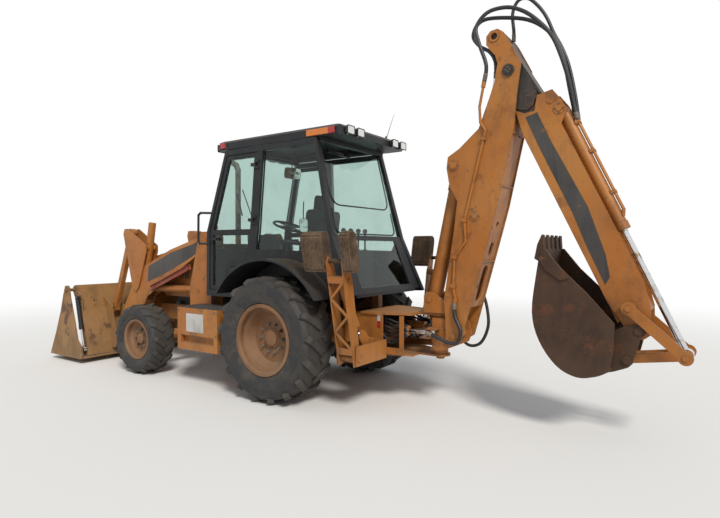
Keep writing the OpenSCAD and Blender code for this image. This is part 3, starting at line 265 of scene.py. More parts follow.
def tyreRubber(name, centre, radius):
    # Rings and dust follow the wheel's own axis
    material, tree, shader, coords = startMaterial(name, Specular_IOR_Level=0.3)
    mapping = addNode(tree, "ShaderNodeMapping", Location=-centre)
    wire(tree, coords, mapping.inputs["Vector"])
    flat = addNode(tree, "ShaderNodeVectorMath", operation="MULTIPLY")
    flat.inputs[1].default_value = (1, 0, 1)
    wire(tree, mapping.outputs[0], flat.inputs[0])
    length = addNode(tree, "ShaderNodeVectorMath", operation="LENGTH")
    wire(tree, flat.outputs[0], length.inputs[0])
    reach = length.outputs["Value"]
    broad = noise(tree, coords, 3, 5, 0.6)
    fine = noise(tree, coords, 60, 6, 0.65)
    crown = ramp(tree, reach, radius * 0.86, radius * 0.99)
    amount = maths(tree, "ADD", 0.16, maths(tree, "MULTIPLY", crown, 0.6))
    dusty = maths(tree, "MULTIPLY", ramp(tree, broad, 0.3, 0.7, 0.35, 1), amount)
    side = ramp(tree, reach, radius * 0.58, radius * 0.82, 0.75, 0.35)
    mottled = ramp(tree, noise(tree, coords, 7, 7, 0.7), 0.4, 0.62, 0.15, 1)
    dusty = maths(tree, "MAXIMUM", dusty, maths(tree, "MULTIPLY", side, mottled))
    colour = blendColour(tree, ramp(tree, fine, 0.3, 0.7), (0.014, 0.016, 0.019), (0.03, 0.032, 0.035))
    colour = blendColour(tree, dusty, colour, (0.095, 0.08, 0.064))
    wire(tree, colour, shader.inputs["Base Color"])
    wire(tree, ramp(tree, dusty, 0, 1, 0.55, 0.9), shader.inputs["Roughness"])
    rings = maths(tree, "SINE", maths(tree, "MULTIPLY", reach, 2 * math.pi / 0.018), 0)
    rings = maths(tree, "MULTIPLY", rings, ramp(tree, reach, radius * 0.84, radius * 0.8))
    bumpFrom(tree, shader, maths(tree, "ADD", maths(tree, "MULTIPLY", rings, 0.12), fine), 0.5, 0.003)
    return material


def polished(name, base=(0.62, 0.62, 0.63), rough=0.16):
    material, tree, shader, coords = startMaterial(name, Metallic=1)
    film = ramp(tree, noise(tree, coords, 7, 5, 0.6, (1, 1, 3)), 0.5, 0.72)
    wire(tree, blendColour(tree, film, base, (0.24, 0.19, 0.13)), shader.inputs["Base Color"])
    wire(tree, ramp(tree, film, 0, 1, rough, 0.5), shader.inputs["Roughness"])
    bumpFrom(tree, shader, noise(tree, coords, 180, 2), 0.05, 0.0004)
    return material


def glazed(name, tint=(0.64, 0.76, 0.72)):
    material, tree, shader, coords = startMaterial(name, Transmission_Weight=1, IOR=1.3)
    haze = ramp(tree, noise(tree, coords, 3.2, 5, 0.62, (1, 1, 0.6)), 0.45, 0.75)
    wire(tree, blendColour(tree, haze, tint, tuple(c * 0.92 for c in tint)), shader.inputs["Base Color"])
    wire(tree, ramp(tree, haze, 0, 1, 0.0, 0.05), shader.inputs["Roughness"])
    return material


def plainRubber(name, base, pale, rough, grain, film):
    material, tree, shader, coords = startMaterial(name)
    broad = ramp(tree, noise(tree, coords, 4, 5, 0.6), 0.4, 0.75, 0, film)
    wire(tree, blendColour(tree, broad, base, pale), shader.inputs["Base Color"])
    wire(tree, ramp(tree, broad, 0, 0.5, rough, 0.9), shader.inputs["Roughness"])
    bumpFrom(tree, shader, noise(tree, coords, grain, 4, 0.6), 0.4, 0.001)
    return material


def laminated(name, base=(0.045, 0.028, 0.018), pale=(0.27, 0.18, 0.11)):
    # Stacked rubber plates: dark between them, dusty and frayed along their edges
    material, tree, shader, coords = startMaterial(name, Roughness=0.85, Specular_IOR_Level=0.3)
    broad = ramp(tree, noise(tree, coords, 6, 6, 0.65), 0.38, 0.66, 0.1, 0.85)
    crumbled = ramp(tree, noise(tree, coords, 45, 4), 0.32, 0.55)
    frayed = maths(tree, "MULTIPLY", edgeMask(tree, 0.009, 0.01, 0.14), crumbled)
    factor = maths(tree, "MAXIMUM", maths(tree, "MULTIPLY", broad, 0.45), frayed)
    wire(tree, blendColour(tree, factor, base, pale), shader.inputs["Base Color"])
    bumpFrom(tree, shader, noise(tree, coords, 90, 5, 0.65), 0.6, 0.002)
    return material


def wovenCloth(name, base, pale, pitch=0.0035):
    # Two crossed waves make the weave of the seat's cloth
    material, tree, shader, coords = startMaterial(name, Roughness=0.85, Sheen_Weight=0.2)
    waves = []
    for axis in ("X", "Y"):
        wave = addNode(tree, "ShaderNodeTexWave", bands_direction=axis, Scale=1 / pitch / 20, Distortion=0.6)
        wire(tree, coords, wave.inputs["Vector"])
        waves.append(wave.outputs["Fac"])
    weave = maths(tree, "MULTIPLY", waves[0], waves[1])
    rubbed = ramp(tree, noise(tree, coords, 6, 4), 0.45, 0.75, 0, 0.6)
    wire(tree, blendColour(tree, rubbed, base, pale), shader.inputs["Base Color"])
    bumpFrom(tree, shader, weave, 0.4, 0.0012)
    return material


def flutedLens(name, low, high, across, scale, rough, coat, depth):
    # Lens of a lamp, with flutes between a low and a high colour
    material, tree, shader, coords = startMaterial(name, Roughness=rough, Coat_Weight=coat)
    wave = addNode(tree, "ShaderNodeTexWave", bands_direction=across, Scale=scale)
    wire(tree, coords, wave.inputs["Vector"])
    wire(tree, blendColour(tree, wave.outputs["Fac"], low, high), shader.inputs["Base Color"])
    bumpFrom(tree, shader, wave.outputs["Fac"], 0.3, depth)
    return material


orange, palerOrange = (0.365, 0.118, 0.013), (0.42, 0.165, 0.032)
paints = {
    "frameOrange": {"base": orange, "faded": palerOrange, "wear": 0.8, "dust": 0.5, "rust": 0.32,
                    "bare": (0.1, 0.075, 0.055)},
    "hoodOrange": {"base": orange, "faded": palerOrange, "wear": 0.4, "dust": 0.45, "rust": 0.12,
                   "shift": 3, "above": (1.66, (0.2, 0.18, 0.16))},
    "rimOrange": {"base": (0.2, 0.085, 0.032), "faded": (0.25, 0.135, 0.07), "wear": 0.5, "dust": 0.75,
                  "rust": 0.3, "rough": 0.66, "shift": 5},
    "cabBlack": {"base": (0.008, 0.01, 0.013), "faded": (0.015, 0.018, 0.022), "wear": 0.2, "dust": 0.2,
                 "rust": 0.03, "bare": (0.05, 0.05, 0.05), "rough": 0.45, "shift": 2, "sheen": 0.28},
    "dipperBlack": {"base": (0.018, 0.016, 0.015), "faded": (0.034, 0.029, 0.025), "wear": 0.8, "dust": 0.5,
                    "rust": 0.35, "bare": (0.13, 0.11, 0.09), "rough": 0.45, "shift": 4},
    "bucketTan": {"base": (0.28, 0.135, 0.035), "faded": (0.34, 0.19, 0.075), "wear": 0.75, "dust": 0.65,
                  "rust": 0.6, "bare": (0.16, 0.105, 0.07), "rough": 0.6, "shift": 8},
    "bucketRust": {"base": (0.035, 0.017, 0.01), "faded": (0.062, 0.031, 0.017), "wear": 0.8, "dust": 0.25,
                   "rust": 0.7, "bare": (0.13, 0.06, 0.028), "rough": 0.6, "shift": 11, "sheen": 0.3},
    "engineGrey": {"base": (0.07, 0.066, 0.06), "faded": (0.1, 0.09, 0.08), "wear": 0.4, "dust": 0.6,
                   "rust": 0.3, "rough": 0.6, "shift": 13},
    "stripeGrey": {"base": (0.026, 0.026, 0.028), "faded": (0.05, 0.048, 0.046), "wear": 0.4, "dust": 0.45,
                   "rust": 0.1, "bare": orange, "rough": 0.4, "shift": 15},
    "fadedRed": {"base": (0.3, 0.055, 0.03), "faded": (0.34, 0.12, 0.07), "wear": 0.6, "dust": 0.6,
                 "rust": 0.3, "rough": 0.5, "shift": 17},
    "plateWhite": {"base": (0.62, 0.62, 0.6), "faded": (0.5, 0.49, 0.46), "wear": 0.3, "dust": 0.5,
                   "rust": 0.1, "rough": 0.4, "shift": 19},
    "boltSteel": {"base": (0.13, 0.115, 0.1), "faded": (0.19, 0.16, 0.13), "wear": 0.8, "dust": 0.6,
                  "rust": 0.6, "rough": 0.5, "shift": 23},
}
rubbers = {
    "hoseBlack": {"base": (0.012, 0.012, 0.014), "pale": (0.1, 0.085, 0.07), "rough": 0.42, "grain": 200,
                  "film": 0.3},
    "mat": {"base": (0.03, 0.028, 0.027), "pale": (0.16, 0.13, 0.1), "rough": 0.8, "grain": 90, "film": 0.6},
    "trim": {"base": (0.015, 0.015, 0.017), "pale": (0.06, 0.06, 0.06), "rough": 0.45, "grain": 260,
             "film": 0.4},
    "seatPlastic": {"base": (0.02, 0.02, 0.022), "pale": (0.09, 0.08, 0.07), "rough": 0.5, "grain": 300,
                    "film": 0.4},
}
lampLook = {"across": "Y", "scale": 28, "rough": 0.12, "coat": 0.6, "depth": 0.002}
markerLook = {"across": "X", "scale": 40, "rough": 0.25, "coat": 0.5, "depth": 0.0015}
markerColours = {"amber": (0.75, 0.2, 0.01), "red": (0.45, 0.012, 0.01)}

finishes = {name: painted(name, **look) for name, look in paints.items()}
finishes.update({name: plainRubber(name, **look) for name, look in rubbers.items()})
finishes.update({
    "chrome": polished("chrome"),
    "mirrorGlass": polished("mirrorGlass", base=(0.8, 0.82, 0.83), rough=0.04),
    "glass": glazed("glass"),
    "padRubber": laminated("padRubber"),
    "seatCloth": wovenCloth("seatCloth", base=(0.024, 0.025, 0.028), pale=(0.07, 0.07, 0.07)),
    "lampLens": flutedLens("lampLens", (0.55, 0.56, 0.55), (0.82, 0.82, 0.8), **lampLook),
})
for name, base in markerColours.items():
    finishes[name] = flutedLens(name, base, tuple(c * 0.6 for c in base), **markerLook)
print("materials made")

# Finish of each material slot of the solids
finishOf = {
    "frame_orange": "frameOrange", "rim_orange": "rimOrange", "cab_black": "cabBlack",
    "dipper_black": "dipperBlack", "bucket_tan": "bucketTan", "bucket_rust": "bucketRust",
    "engine_grey": "engineGrey", "rod_chrome": "chrome", "glass_green": "glass", "pad_rubber": "padRubber",
    "hose_black": "hoseBlack", "seat_black": "seatPlastic", "lamp_white": "lampLens",
    "clam_black": "cabBlack",
}
slotOf = {row["node"]: row["material_slot"] for row in frame["record"]["subparts"]}

# Wheels: sizes in mm; each tyre has its own rubber, ringed about its axle
wheelSpec = {"front": {"x": 2146, "y": 812, "d": 831, "nuts": 8, "circle": 105, "nut": 26, "cap": 62},
             "rear": {"x": 0, "y": 800, "d": 1240, "nuts": 10, "circle": 140, "nut": 30, "cap": 80}}
tyreFinish = {}
for end, spec in wheelSpec.items():
    for side, sign in (("left", 1), ("right", -1)):
        centre = at(spec["x"], sign * spec["y"], spec["d"] / 2)
        tyreFinish[f"{end}_tyre_{side}"] = tyreRubber(f"{end}Rubber{side.title()}", centre, spec["d"] / 2000)
for nodeName, cadObject in frame["nodes"].items():
    cadObject.data.materials.clear()
    finish = tyreFinish.get(nodeName) or finishes[finishOf[slotOf[nodeName]]]
    if nodeName == "hood":
        finish = finishes["hoodOrange"]
    cadObject.data.materials.append(finish)


def finished(obj, body, material, smooth=False):
    obj.data.materials.clear()
    obj.data.materials.append(finishes[material])
    if smooth:
        smoothed(obj)
    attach(obj, body)
    return obj


def smoothed(obj):
    obj.data.polygons.foreach_set("use_smooth", [True] * len(obj.data.polygons))


def meshObject(name, bm):
    bmesh.ops.remove_doubles(bm, verts=bm.verts, dist=1e-5)
    bmesh.ops.recalc_face_normals(bm, faces=bm.faces)
    data = bpy.data.meshes.new(name)
    bm.to_mesh(data)
    bm.free()
    obj = bpy.data.objects.new(name, data)
    bpy.context.scene.collection.objects.link(obj)
    return obj


def bevelled(obj, width, segments=2, angle=35):
    modifier = obj.modifiers.new("edges", "BEVEL")
    modifier.width = width
    modifier.segments = segments
    modifier.limit_method = "ANGLE"
    modifier.angle_limit = math.radians(angle)
    bpy.context.view_layer.update()
    flat = bpy.data.meshes.new_from_object(obj.evaluated_get(bpy.context.evaluated_depsgraph_get()))
    obj.modifiers.clear()
    obj.data = flat
    return obj


def addPrism(bm, points, lift):
    # A closed plate from an outline of 3D points and the vector to its other face
    low = [bm.verts.new(p) for p in points]
    high = [bm.verts.new(Vector(p) + lift) for p in points]
    bm.faces.new(low)
    bm.faces.new(list(reversed(high)))
    count = len(points)
    for i in range(count):
        j = (i + 1) % count
        bm.faces.new((low[i], high[i], high[j], low[j]))


def ringAt(bm, middle, radius, first, second, sides):
    turns = (2 * math.pi * k / sides for k in range(sides))
    return [bm.verts.new(middle + radius * (first * math.cos(a) + second * math.sin(a))) for a in turns]


def bridge(bm, rings):
    count = len(rings[0])
    for a, b in zip(rings, rings[1:]):
        for k in range(count):
            j = (k + 1) % count
            bm.faces.new((a[k], a[j], b[j], b[k]))


def addTube(bm, path, radius, sides=12):
    # Sweeps a ring along a path without twisting it
    count = len(path)
    tangents = [(path[min(i + 1, count - 1)] - path[max(i - 1, 0)]).normalized() for i in range(count)]
    normal = tangents[0].orthogonal().normalized()
    rings = []
    for i, point in enumerate(path):
        if i:
            normal = tangents[i - 1].rotation_difference(tangents[i]) @ normal
        other = tangents[i].cross(normal)
        size = radius[i] if isinstance(radius, list) else radius
        rings.append(ringAt(bm, point, size, normal, other, sides))
    bridge(bm, rings)
    bm.faces.new(list(reversed(rings[0])))
    bm.faces.new(rings[-1])


def curveThrough(points, steps):
    # The same smooth curve as the solids' hoses follow
    last = len(points) - 1
    out = []
    for i in range(last):
        a, b, c, d = points[max(i - 1, 0)], points[i], points[i + 1], points[min(i + 2, last)]
        for k in range(steps):
            t = k / steps
            square = (2 * a - 5 * b + 4 * c - d) * t * t
            cube = (3 * b - a - 3 * c + d) * t ** 3
            out.append((2 * b + (c - a) * t + square + cube) / 2)
    return out + [points[last]]


def turnedProfile(bm, profile, centre, axis, sides=40):
    # Revolves rows of (distance along axis, radius); a row on the axis closes an end
    axis = Vector(axis).normalized()
    first = axis.orthogonal().normalized()
    second = axis.cross(first)
    rings = []
    for along, radius in profile:
        middle = centre + axis * along
        if radius < 1e-6:
            rings.append([bm.verts.new(middle)])
        else:
            rings.append(ringAt(bm, middle, radius, first, second, sides))
    for a, b in zip(rings, rings[1:]):
        for k in range(sides):
            j = (k + 1) % sides
            if len(a) == 1 and len(b) > 1:
                bm.faces.new((a[0], b[j], b[k]))
            elif len(b) == 1 and len(a) > 1:
                bm.faces.new((a[k], a[j], b[0]))
            elif len(a) > 1:
                bm.faces.new((a[k], a[j], b[j], b[k]))


# Charcoal stripes on both sides of an arm, bare of any lettering; outlines in the arm's own (u, v)
stripes = {
    "armStripe": {"place": armPlace, "y": 580.2, "body": "loader_arms", "outline": [
        (1090, 425), (1225, 275), (760, 118), (330, 8), (60, -32), (60, 62), (226, 118), (609, 285),
        (781, 335)]},
    "dipperStripe": {"place": dipperPlace, "y": 130.2, "body": "extension", "outline": [
        (436, 52), (452, -51), (706, -46), (1361, -72), (1760, -30), (1935, 16), (1978, 76), (1640, 72),
        (1341, 54), (706, 60)]},
}
stripeThickness = 0.0008


def makeStripe(name, place, y, body, outline):
    bm = bmesh.new()
    for sign in (1, -1):
        face = [onArm(place, u, v, sign * y) for u, v in outline]
        addPrism(bm, face, Vector((0, sign * stripeThickness, 0)))
    finished(meshObject(name, bm), body, "stripeGrey")


for name, spec in stripes.items():
    makeStripe(name, **spec)
print("stripes laid")


# Service strut stowed under the left loader arm: a channel with a boss near each end
strutSpec = {"from": (420, -73), "to": (1208, 162), "width": 62, "y": 580.3, "deep": 30, "wall": 4,
             "lip": 0.87, "bossInset": 60}
strutBoss = [(0, 0), (0, 0.018), (0.012, 0.018), (0.016, 0.012), (0.016, 0)]


def makeStrut():
    a, b = Vector(strutSpec["from"]), Vector(strutSpec["to"])
    along = (b - a).normalized()
    across = Vector((-along.y, along.x)) * strutSpec["width"] / 2
    wall, deep, lip = strutSpec["wall"], strutSpec["deep"], strutSpec["lip"]
    bm = bmesh.new()

    def corner(point, height):
        return onArm(armPlace, point.x, point.y, strutSpec["y"] + height)

    section = [(-1, deep), (-1, 0), (1, 0), (1, deep), (lip, deep), (lip, wall), (-lip, wall), (-lip, deep)]
    addPrism(bm, [corner(a + across * s, h) for s, h in section], corner(b, 0) - corner(a, 0))
    for end in (a + along * strutSpec["bossInset"], b - along * strutSpec["bossInset"]):
        turnedProfile(bm, strutBoss, corner(end, wall), (0, 1, 0), 16)
    finished(meshObject("serviceStrut", bm), "loader_arms", "fadedRed")


makeStrut()

# Wheel nuts and keeper bolts, placed by one node tree
nutHeight = 0.026
# Sides of each part of a nut, and its radius and height as shares of the nut's
nutParts = {"nut": (6, 1.0, 1.0), "washer": (20, 1.35, 0.22), "stud": (12, 0.48, 1.5)}


def nutTree():
    tree = bpy.data.node_groups.new("nutCircle", "GeometryNodeTree")
    face = tree.interface
    face.new_socket("Geometry", in_out="OUTPUT", socket_type="NodeSocketGeometry")
    sockets = {}
    for name, kind in (("Count", "NodeSocketInt"), ("Circle", "NodeSocketFloat"), ("Nut", "NodeSocketFloat"),
                       ("Height", "NodeSocketFloat"), ("Metal", "NodeSocketMaterial")):
        sockets[name] = face.new_socket(name, in_out="INPUT", socket_type=kind).identifier
    inputs = tree.nodes.new("NodeGroupInput")
    out = tree.nodes.new("NodeGroupOutput")
    ring = tree.nodes.new("GeometryNodeMeshCircle")
    wire(tree, inputs.outputs["Count"], ring.inputs["Vertices"])
    wire(tree, inputs.outputs["Circle"], ring.inputs["Radius"])
    pieces = []
    for sides, radiusShare, heightShare in nutParts.values():
        body = addNode(tree, "GeometryNodeMeshCylinder", Vertices=sides)
        wire(tree, maths(tree, "MULTIPLY", inputs.outputs["Nut"], radiusShare), body.inputs["Radius"])
        wire(tree, maths(tree, "MULTIPLY", inputs.outputs["Height"], heightShare), body.inputs["Depth"])
        raised = addNode(tree, "ShaderNodeCombineXYZ")
        wire(tree, maths(tree, "MULTIPLY", inputs.outputs["Height"], heightShare / 2), raised.inputs["Z"])
        lift = addNode(tree, "GeometryNodeTransform")
        wire(tree, body.outputs["Mesh"], lift.inputs["Geometry"])
        wire(tree, raised.outputs[0], lift.inputs["Translation"])
        pieces.append(lift)
    joined = tree.nodes.new("GeometryNodeJoinGeometry")
    for piece in pieces:
        wire(tree, piece.outputs[0], joined.inputs[0])
    spread = tree.nodes.new("GeometryNodeInstanceOnPoints")
    wire(tree, ring.outputs["Mesh"], spread.inputs["Points"])
    wire(tree, joined.outputs[0], spread.inputs["Instance"])
    real = tree.nodes.new("GeometryNodeRealizeInstances")
    wire(tree, spread.outputs[0], real.inputs[0])
    paint = tree.nodes.new("GeometryNodeSetMaterial")
    wire(tree, real.outputs[0], paint.inputs["Geometry"])
    wire(tree, inputs.outputs["Metal"], paint.inputs["Material"])
    wire(tree, paint.outputs[0], out.inputs[0])
    return tree, sockets


nutGroup, nutSockets = nutTree()


def nutCircle(name, count, circle, nut, height, centre, axis, body):
    holder = bpy.data.objects.new(name, bpy.data.meshes.new(name))
    bpy.context.scene.collection.objects.link(holder)
    modifier = holder.modifiers.new("nuts", "NODES")
    modifier.node_group = nutGroup
    values = {"Count": count, "Circle": circle, "Nut": nut, "Height": height, "Metal": finishes["boltSteel"]}
    for key, value in values.items():
        modifier[nutSockets[key]] = value
    bpy.context.view_layer.update()
    mesh = bpy.data.meshes.new_from_object(holder.evaluated_get(bpy.context.evaluated_depsgraph_get()))
    holder.modifiers.clear()
    holder.data = mesh
    turn = Vector((0, 0, 1)).rotation_difference(Vector(axis)).to_matrix().to_4x4()
    mesh.transform(Matrix.Translation(centre) @ turn)
    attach(holder, body)


# The outer face of a rim's disc stands 30 mm outside the wheel's middle
discFace = 30
# Rows of a hub cap: distance from that face, and share of the cap's radius
capProfile = [(0.019, 0), (0.019, 1), (0.034, 0.97), (0.041, 0.86), (0.043, 0.5), (0.046, 0)]
for end, spec in wheelSpec.items():
    for side, sign in (("left", 1), ("right", -1)):
        body = f"{end}_wheel_{side}"
        hub = at(spec["x"], sign * (spec["y"] + discFace), spec["d"] / 2)
        nutCircle(f"{end}Nuts{side.title()}", spec["nuts"], spec["circle"] / 1000, spec["nut"] / 2000,
                  nutHeight, hub, (0, sign, 0), body)
        bm = bmesh.new()
        rows = [(along, spec["cap"] / 1000 * share) for along, share in capProfile]
        turnedProfile(bm, rows, hub, (0, sign, 0), 48)
        finished(meshObject(f"{end}Cap{side.title()}", bm), body, "rimOrange", smooth=True)
print("wheels dressed")


# Hoses: the same routes as the solids, swept round and smooth, with steel ends
lineY = 175
hoseSpec = {"sides": 14, "steps": 9, "ferrule": 1.16, "ferruleSides": 12, "ferruleLength": 0.07}
# Rows of (width, points in mm); a point with a name first lies on that arm, as (u, v, y)
topRoutes = [
    (34, [("boom", 2288.3, -192, lineY), (-1932, lineY, 3120), (-1860, 165, 3330), (-1829, 150, 3480),
          (-1921, 120, 3598), (-2087, 100, 3610), (-2232, 90, 3545), (-2359, 85, 3430), (-2469, 80, 3287),
          (-2540, 62, 3110), (-2600, 45, 2900), (-2636, 30, 2700), ("dipper", 648, -285.5, 27)]),
    (34, [(-1990, 90, 3020), (-1985, 90, 3160), (-1930, 85, 3260), (-1837, 80, 3330), (-1770, 75, 3430),
          (-1800, 60, 3533), (-1898, 50, 3572), (-2126, 40, 3530), (-2285, 30, 3470), (-2411, 15, 3370),
          (-2500, 4, 3240), (-2550, 0, 3084), (-2595, 0, 2850), ("dipper", 600, -285, 0)]),
    (30, [(-2108, -30, 3348), (-2108, -30, 3440), (-2097, -30, 3600), (-2142, -35, 3700), (-2225, -40, 3706),
          (-2310, -45, 3626), (-2385, -50, 3510), (-2450, -50, 3355), (-2525, -50, 3200), (-2585, -48, 3020),
          (-2640, -34, 2750), ("dipper", 648, -285.5, -26)]),
]
footRoutes = [
    (36, [(-1380, 230, 720), (-1500, 232, 690), (-1600, 225, 650), (-1690, 215, 660), (-1718, 205, 760),
          (-1655, 188, 890), ("boom", 305.7, -43, lineY + 4)]),
    (30, [(-1380, -231, 700), (-1500, -234, 640), (-1620, -230, 560), (-1740, -225, 600), (-1815, -215, 760),
          (-1810, -205, 930), (-1775, -190, 1080), (-1745, -178, 1180)]),
]
routeArms = {"boom": boomPlace, "dipper": dipperPlace}


def routePoint(row):
    return onArm(routeArms[row[0]], *row[1:]) if row[0] in routeArms else at(*row)


def makeHoses(name, routes):
    bm = bmesh.new()
    ends = bmesh.new()
    for width, rows in routes:
        path = curveThrough([routePoint(r) for r in rows], hoseSpec["steps"])
        addTube(bm, path, width / 2000, hoseSpec["sides"])
        for line in (path, list(reversed(path))):
            travelled, crimp = 0.0, [line[0]]
            for a, b in zip(line, line[1:]):
                travelled += (b - a).length
                if travelled > hoseSpec["ferruleLength"]:
                    break
                crimp.append(b)
            if len(crimp) < 2:
                crimp.append(line[1])
            addTube(ends, crimp, width / 2000 * hoseSpec["ferrule"], hoseSpec["ferruleSides"])
    return meshObject(name, bm), meshObject(name + "Ends", ends)


def joinInto(target, other):
    # Adds the faces of one mesh to another, in a material slot of their own
    count = len(target.data.materials)
    bm = bmesh.new()
    bm.from_mesh(target.data)
    first = len(bm.faces)
    bm.from_mesh(other.data)
    bm.faces.ensure_lookup_table()
    for face in bm.faces[first:]:
        face.material_index = count
    bm.to_mesh(target.data)
    bm.free()
    target.data.materials.append(other.data.materials[0])
    bpy.data.objects.remove(other)


def dressHoses(name, routes, node):
    tubes, ends = makeHoses(name, routes)
    tubes.data.materials.append(finishes["hoseBlack"])
    ends.data.materials.append(finishes["boltSteel"])
    joinInto(tubes, ends)
    smoothed(tubes)
    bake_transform(tubes)
    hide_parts(node)


dressHoses("tipHoses", topRoutes, "top_hoses")
dressHoses("footHoses", footRoutes, "foot_hoses")
print("hoses swept")


# Hoses that show through the rear frame's windows, between the swing cylinders and outside them
bundleSpec = {"inner": 10, "innerRadius": 0.0105, "innerFrom": -99, "innerPitch": 22,
              "outer": 14, "outerRadius": 0.0115, "outerFrom": 244, "steps": 8, "sides": 10}


def makeBundle():
    bm = bmesh.new()

    def sweep(rows, radius):
        addTube(bm, curveThrough([at(*r) for r in rows], bundleSpec["steps"]), radius, bundleSpec["sides"])

    for k in range(bundleSpec["inner"]):
        y = bundleSpec["innerFrom"] + bundleSpec["innerPitch"] * k
        sweep([(-690, y, 760 - 6 * (k % 3)), (-800, y * 1.05, 846 - 9 * (k % 4)),
               (-930, y * 1.03, 792 - 14 * (k % 3)), (-1050, y, 700 - 16 * (k % 4)),
               (-1160, y * 0.9, 640 + 12 * (k % 3))], bundleSpec["innerRadius"])
    for k in range(bundleSpec["outer"]):
        row, sign = k // 2, 1 if k % 2 else -1
        y = sign * (bundleSpec["outerFrom"] + 13 * (row % 3))
        early, late = (sign * (246 + 15 * (step % 3)) for step in (row + 1, row))
        sweep([(-700, y, 690 + 22 * row), (-830, y, 806 - 9 * row), (-960, early, 612 + 36 * row),
               (-1060, late, 600 + 33 * row), (-1185, y, 676 + 16 * row)], bundleSpec["outerRadius"])
    finished(meshObject("frameHoses", bm), "root", "hoseBlack", smooth=True)


makeBundle()

# Flat pieces with rounded edges: low and high corner on the left, finish, and whether the right has one too
plates = {
    "stepMat": ((684, 612, 860), (1326, 946, 867), "mat", True),
    "sidePlate": ((900, 950, 600), (1180, 952, 800), "plateWhite", False),
    "reflectorWhite": ((-940, 330.4, 806), (-904, 333, 872), "plateWhite", True),
    "reflectorRed": ((-940, 330.4, 740), (-904, 333, 804), "red", True),
}
plateEdge = {"most": 0.0015, "share": 0.4}


def makePlate(name, low, high, material):
    a, b = at(*low), at(*high)
    bm = bmesh.new()
    corners = [Vector((x, y, a.z)) for x, y in ((a.x, a.y), (b.x, a.y), (b.x, b.y), (a.x, b.y))]
    addPrism(bm, corners, Vector((0, 0, b.z - a.z)))
    thinnest = min(end - start for start, end in zip(low, high))
    edge = min(plateEdge["most"], plateEdge["share"] * thinnest / 1000)
    finished(bevelled(meshObject(name, bm), edge), "root", material)


for name, (low, high, material, twice) in plates.items():
    makePlate(f"{name}Left", low, high, material)
    if twice:
        makePlate(f"{name}Right", (low[0], -high[1], low[2]), (high[0], -low[1], high[2]), material)

# Work lamps: square housings round the solids' round lamps, front and back
workLamp = {"half": 62, "tall": 43, "corner": 10, "z": 2645, "rows": (-500, -330, 330, 500),
            "rear": -715, "front": 1112, "lensThickness": 0.004}
# Rings of a housing and of its lens: depth behind the face, and shares of the face's width and height
housingRings = [(34, 0.9, 0.85), (0, 1, 1), (1, 0.86, 0.82), (6, 0.84, 0.8)]
lensRing = (5.5, 0.83, 0.79)


def makeWorkLamps():
    shell, lens = bmesh.new(), bmesh.new()
    h, t, cut = workLamp["half"], workLamp["tall"], workLamp["corner"]
    corners = [(-h, -t + cut), (-h + cut, -t), (h - cut, -t), (h, -t + cut),
               (h, t - cut), (h - cut, t), (-h + cut, t), (-h, t - cut)]

    def ring(x, y, sign, row):
        depth, wide, high = row
        return [at(x - sign * depth, y + c * wide, workLamp["z"] + d * high) for c, d in corners]

    for y in workLamp["rows"]:
        for x, sign in ((workLamp["rear"], -1), (workLamp["front"], 1)):
            loops = [[shell.verts.new(p) for p in ring(x, y, sign, row)] for row in housingRings]
            bridge(shell, loops)
            shell.faces.new(loops[0])
            shell.faces.new(loops[-1])
            addPrism(lens, ring(x, y, sign, lensRing), Vector((sign * workLamp["lensThickness"], 0, 0)))
    finished(meshObject("lampHousings", shell), "root", "trim")
    finished(bevelled(meshObject("lampLenses", lens), 0.0015), "root", "lampLens")


makeWorkLamps()

# Marker lamps on the roof's sides: amber along the side, red at the back and the front
markers = {
    "markerAmber": {"x": (-520, -248), "z": (2614, 2675), "finish": "amber"},
    "markerRed": {"x": (-592, -518), "z": (2614, 2675), "finish": "red"},
    "markerFront": {"x": (928, 1002), "z": (2619, 2680), "finish": "red"},
}
markerSpec = {"y": 601, "out": 0.018, "edge": 0.004, "segments": 3}
for name, spec in markers.items():
    (x0, x1), (z0, z1) = spec["x"], spec["z"]
    bm = bmesh.new()
    for sign in (1, -1):
        outline = [at(x, sign * markerSpec["y"], z) for x, z in ((x0, z0), (x1, z0), (x1, z1), (x0, z1))]
        addPrism(bm, outline, Vector((0, sign * markerSpec["out"], 0)))
    lamp = bevelled(meshObject(name, bm), markerSpec["edge"], markerSpec["segments"])
    finished(lamp, "root", spec["finish"])

# Window seals and wipers; the rear pane runs from its low to its high (x, z)
rearPane = {"low": (-580, 1641), "high": (-344, 2569)}
# Corners of a seal as (y, z), and how far its bends reach in metres
seals = [(((520, 2540), (520, 1940), (-520, 1940), (-520, 2540)), 0.12),
         (((545, 1900), (545, 1655), (-545, 1655), (-545, 1900)), 0.08)]
sealRadius = 0.008
# Arm and blade of a wiper, each with its ends and its radius
rearWiper = [((420, 2500, 12), (180, 2485, 22), 0.006), ((430, 2478, 9), (60, 2462, 12), 0.008)]
frontWiper = [((1040, 250, 2200), (1150, -60, 1790), 0.006), ((1046, 330, 2150), (1118, 180, 1900), 0.008)]


def onRearPane(y, z, out=4):
    (x0, z0), (x1, z1) = rearPane["low"], rearPane["high"]
    return at(x0 + (z - z0) * (x1 - x0) / (z1 - z0) - out, y, z)


def sealPath(points, radius):
    # Rounds each inner corner of a polyline with a short arc
    out = [points[0]]
    for a, b, c in zip(points, points[1:], points[2:]):
        start, end = b + (a - b).normalized() * radius, b + (c - b).normalized() * radius
        for k in range(7):
            t = k / 6
            out.append((1 - t) ** 2 * start + 2 * t * (1 - t) * b + t * t * end)
    return out + [points[-1]]


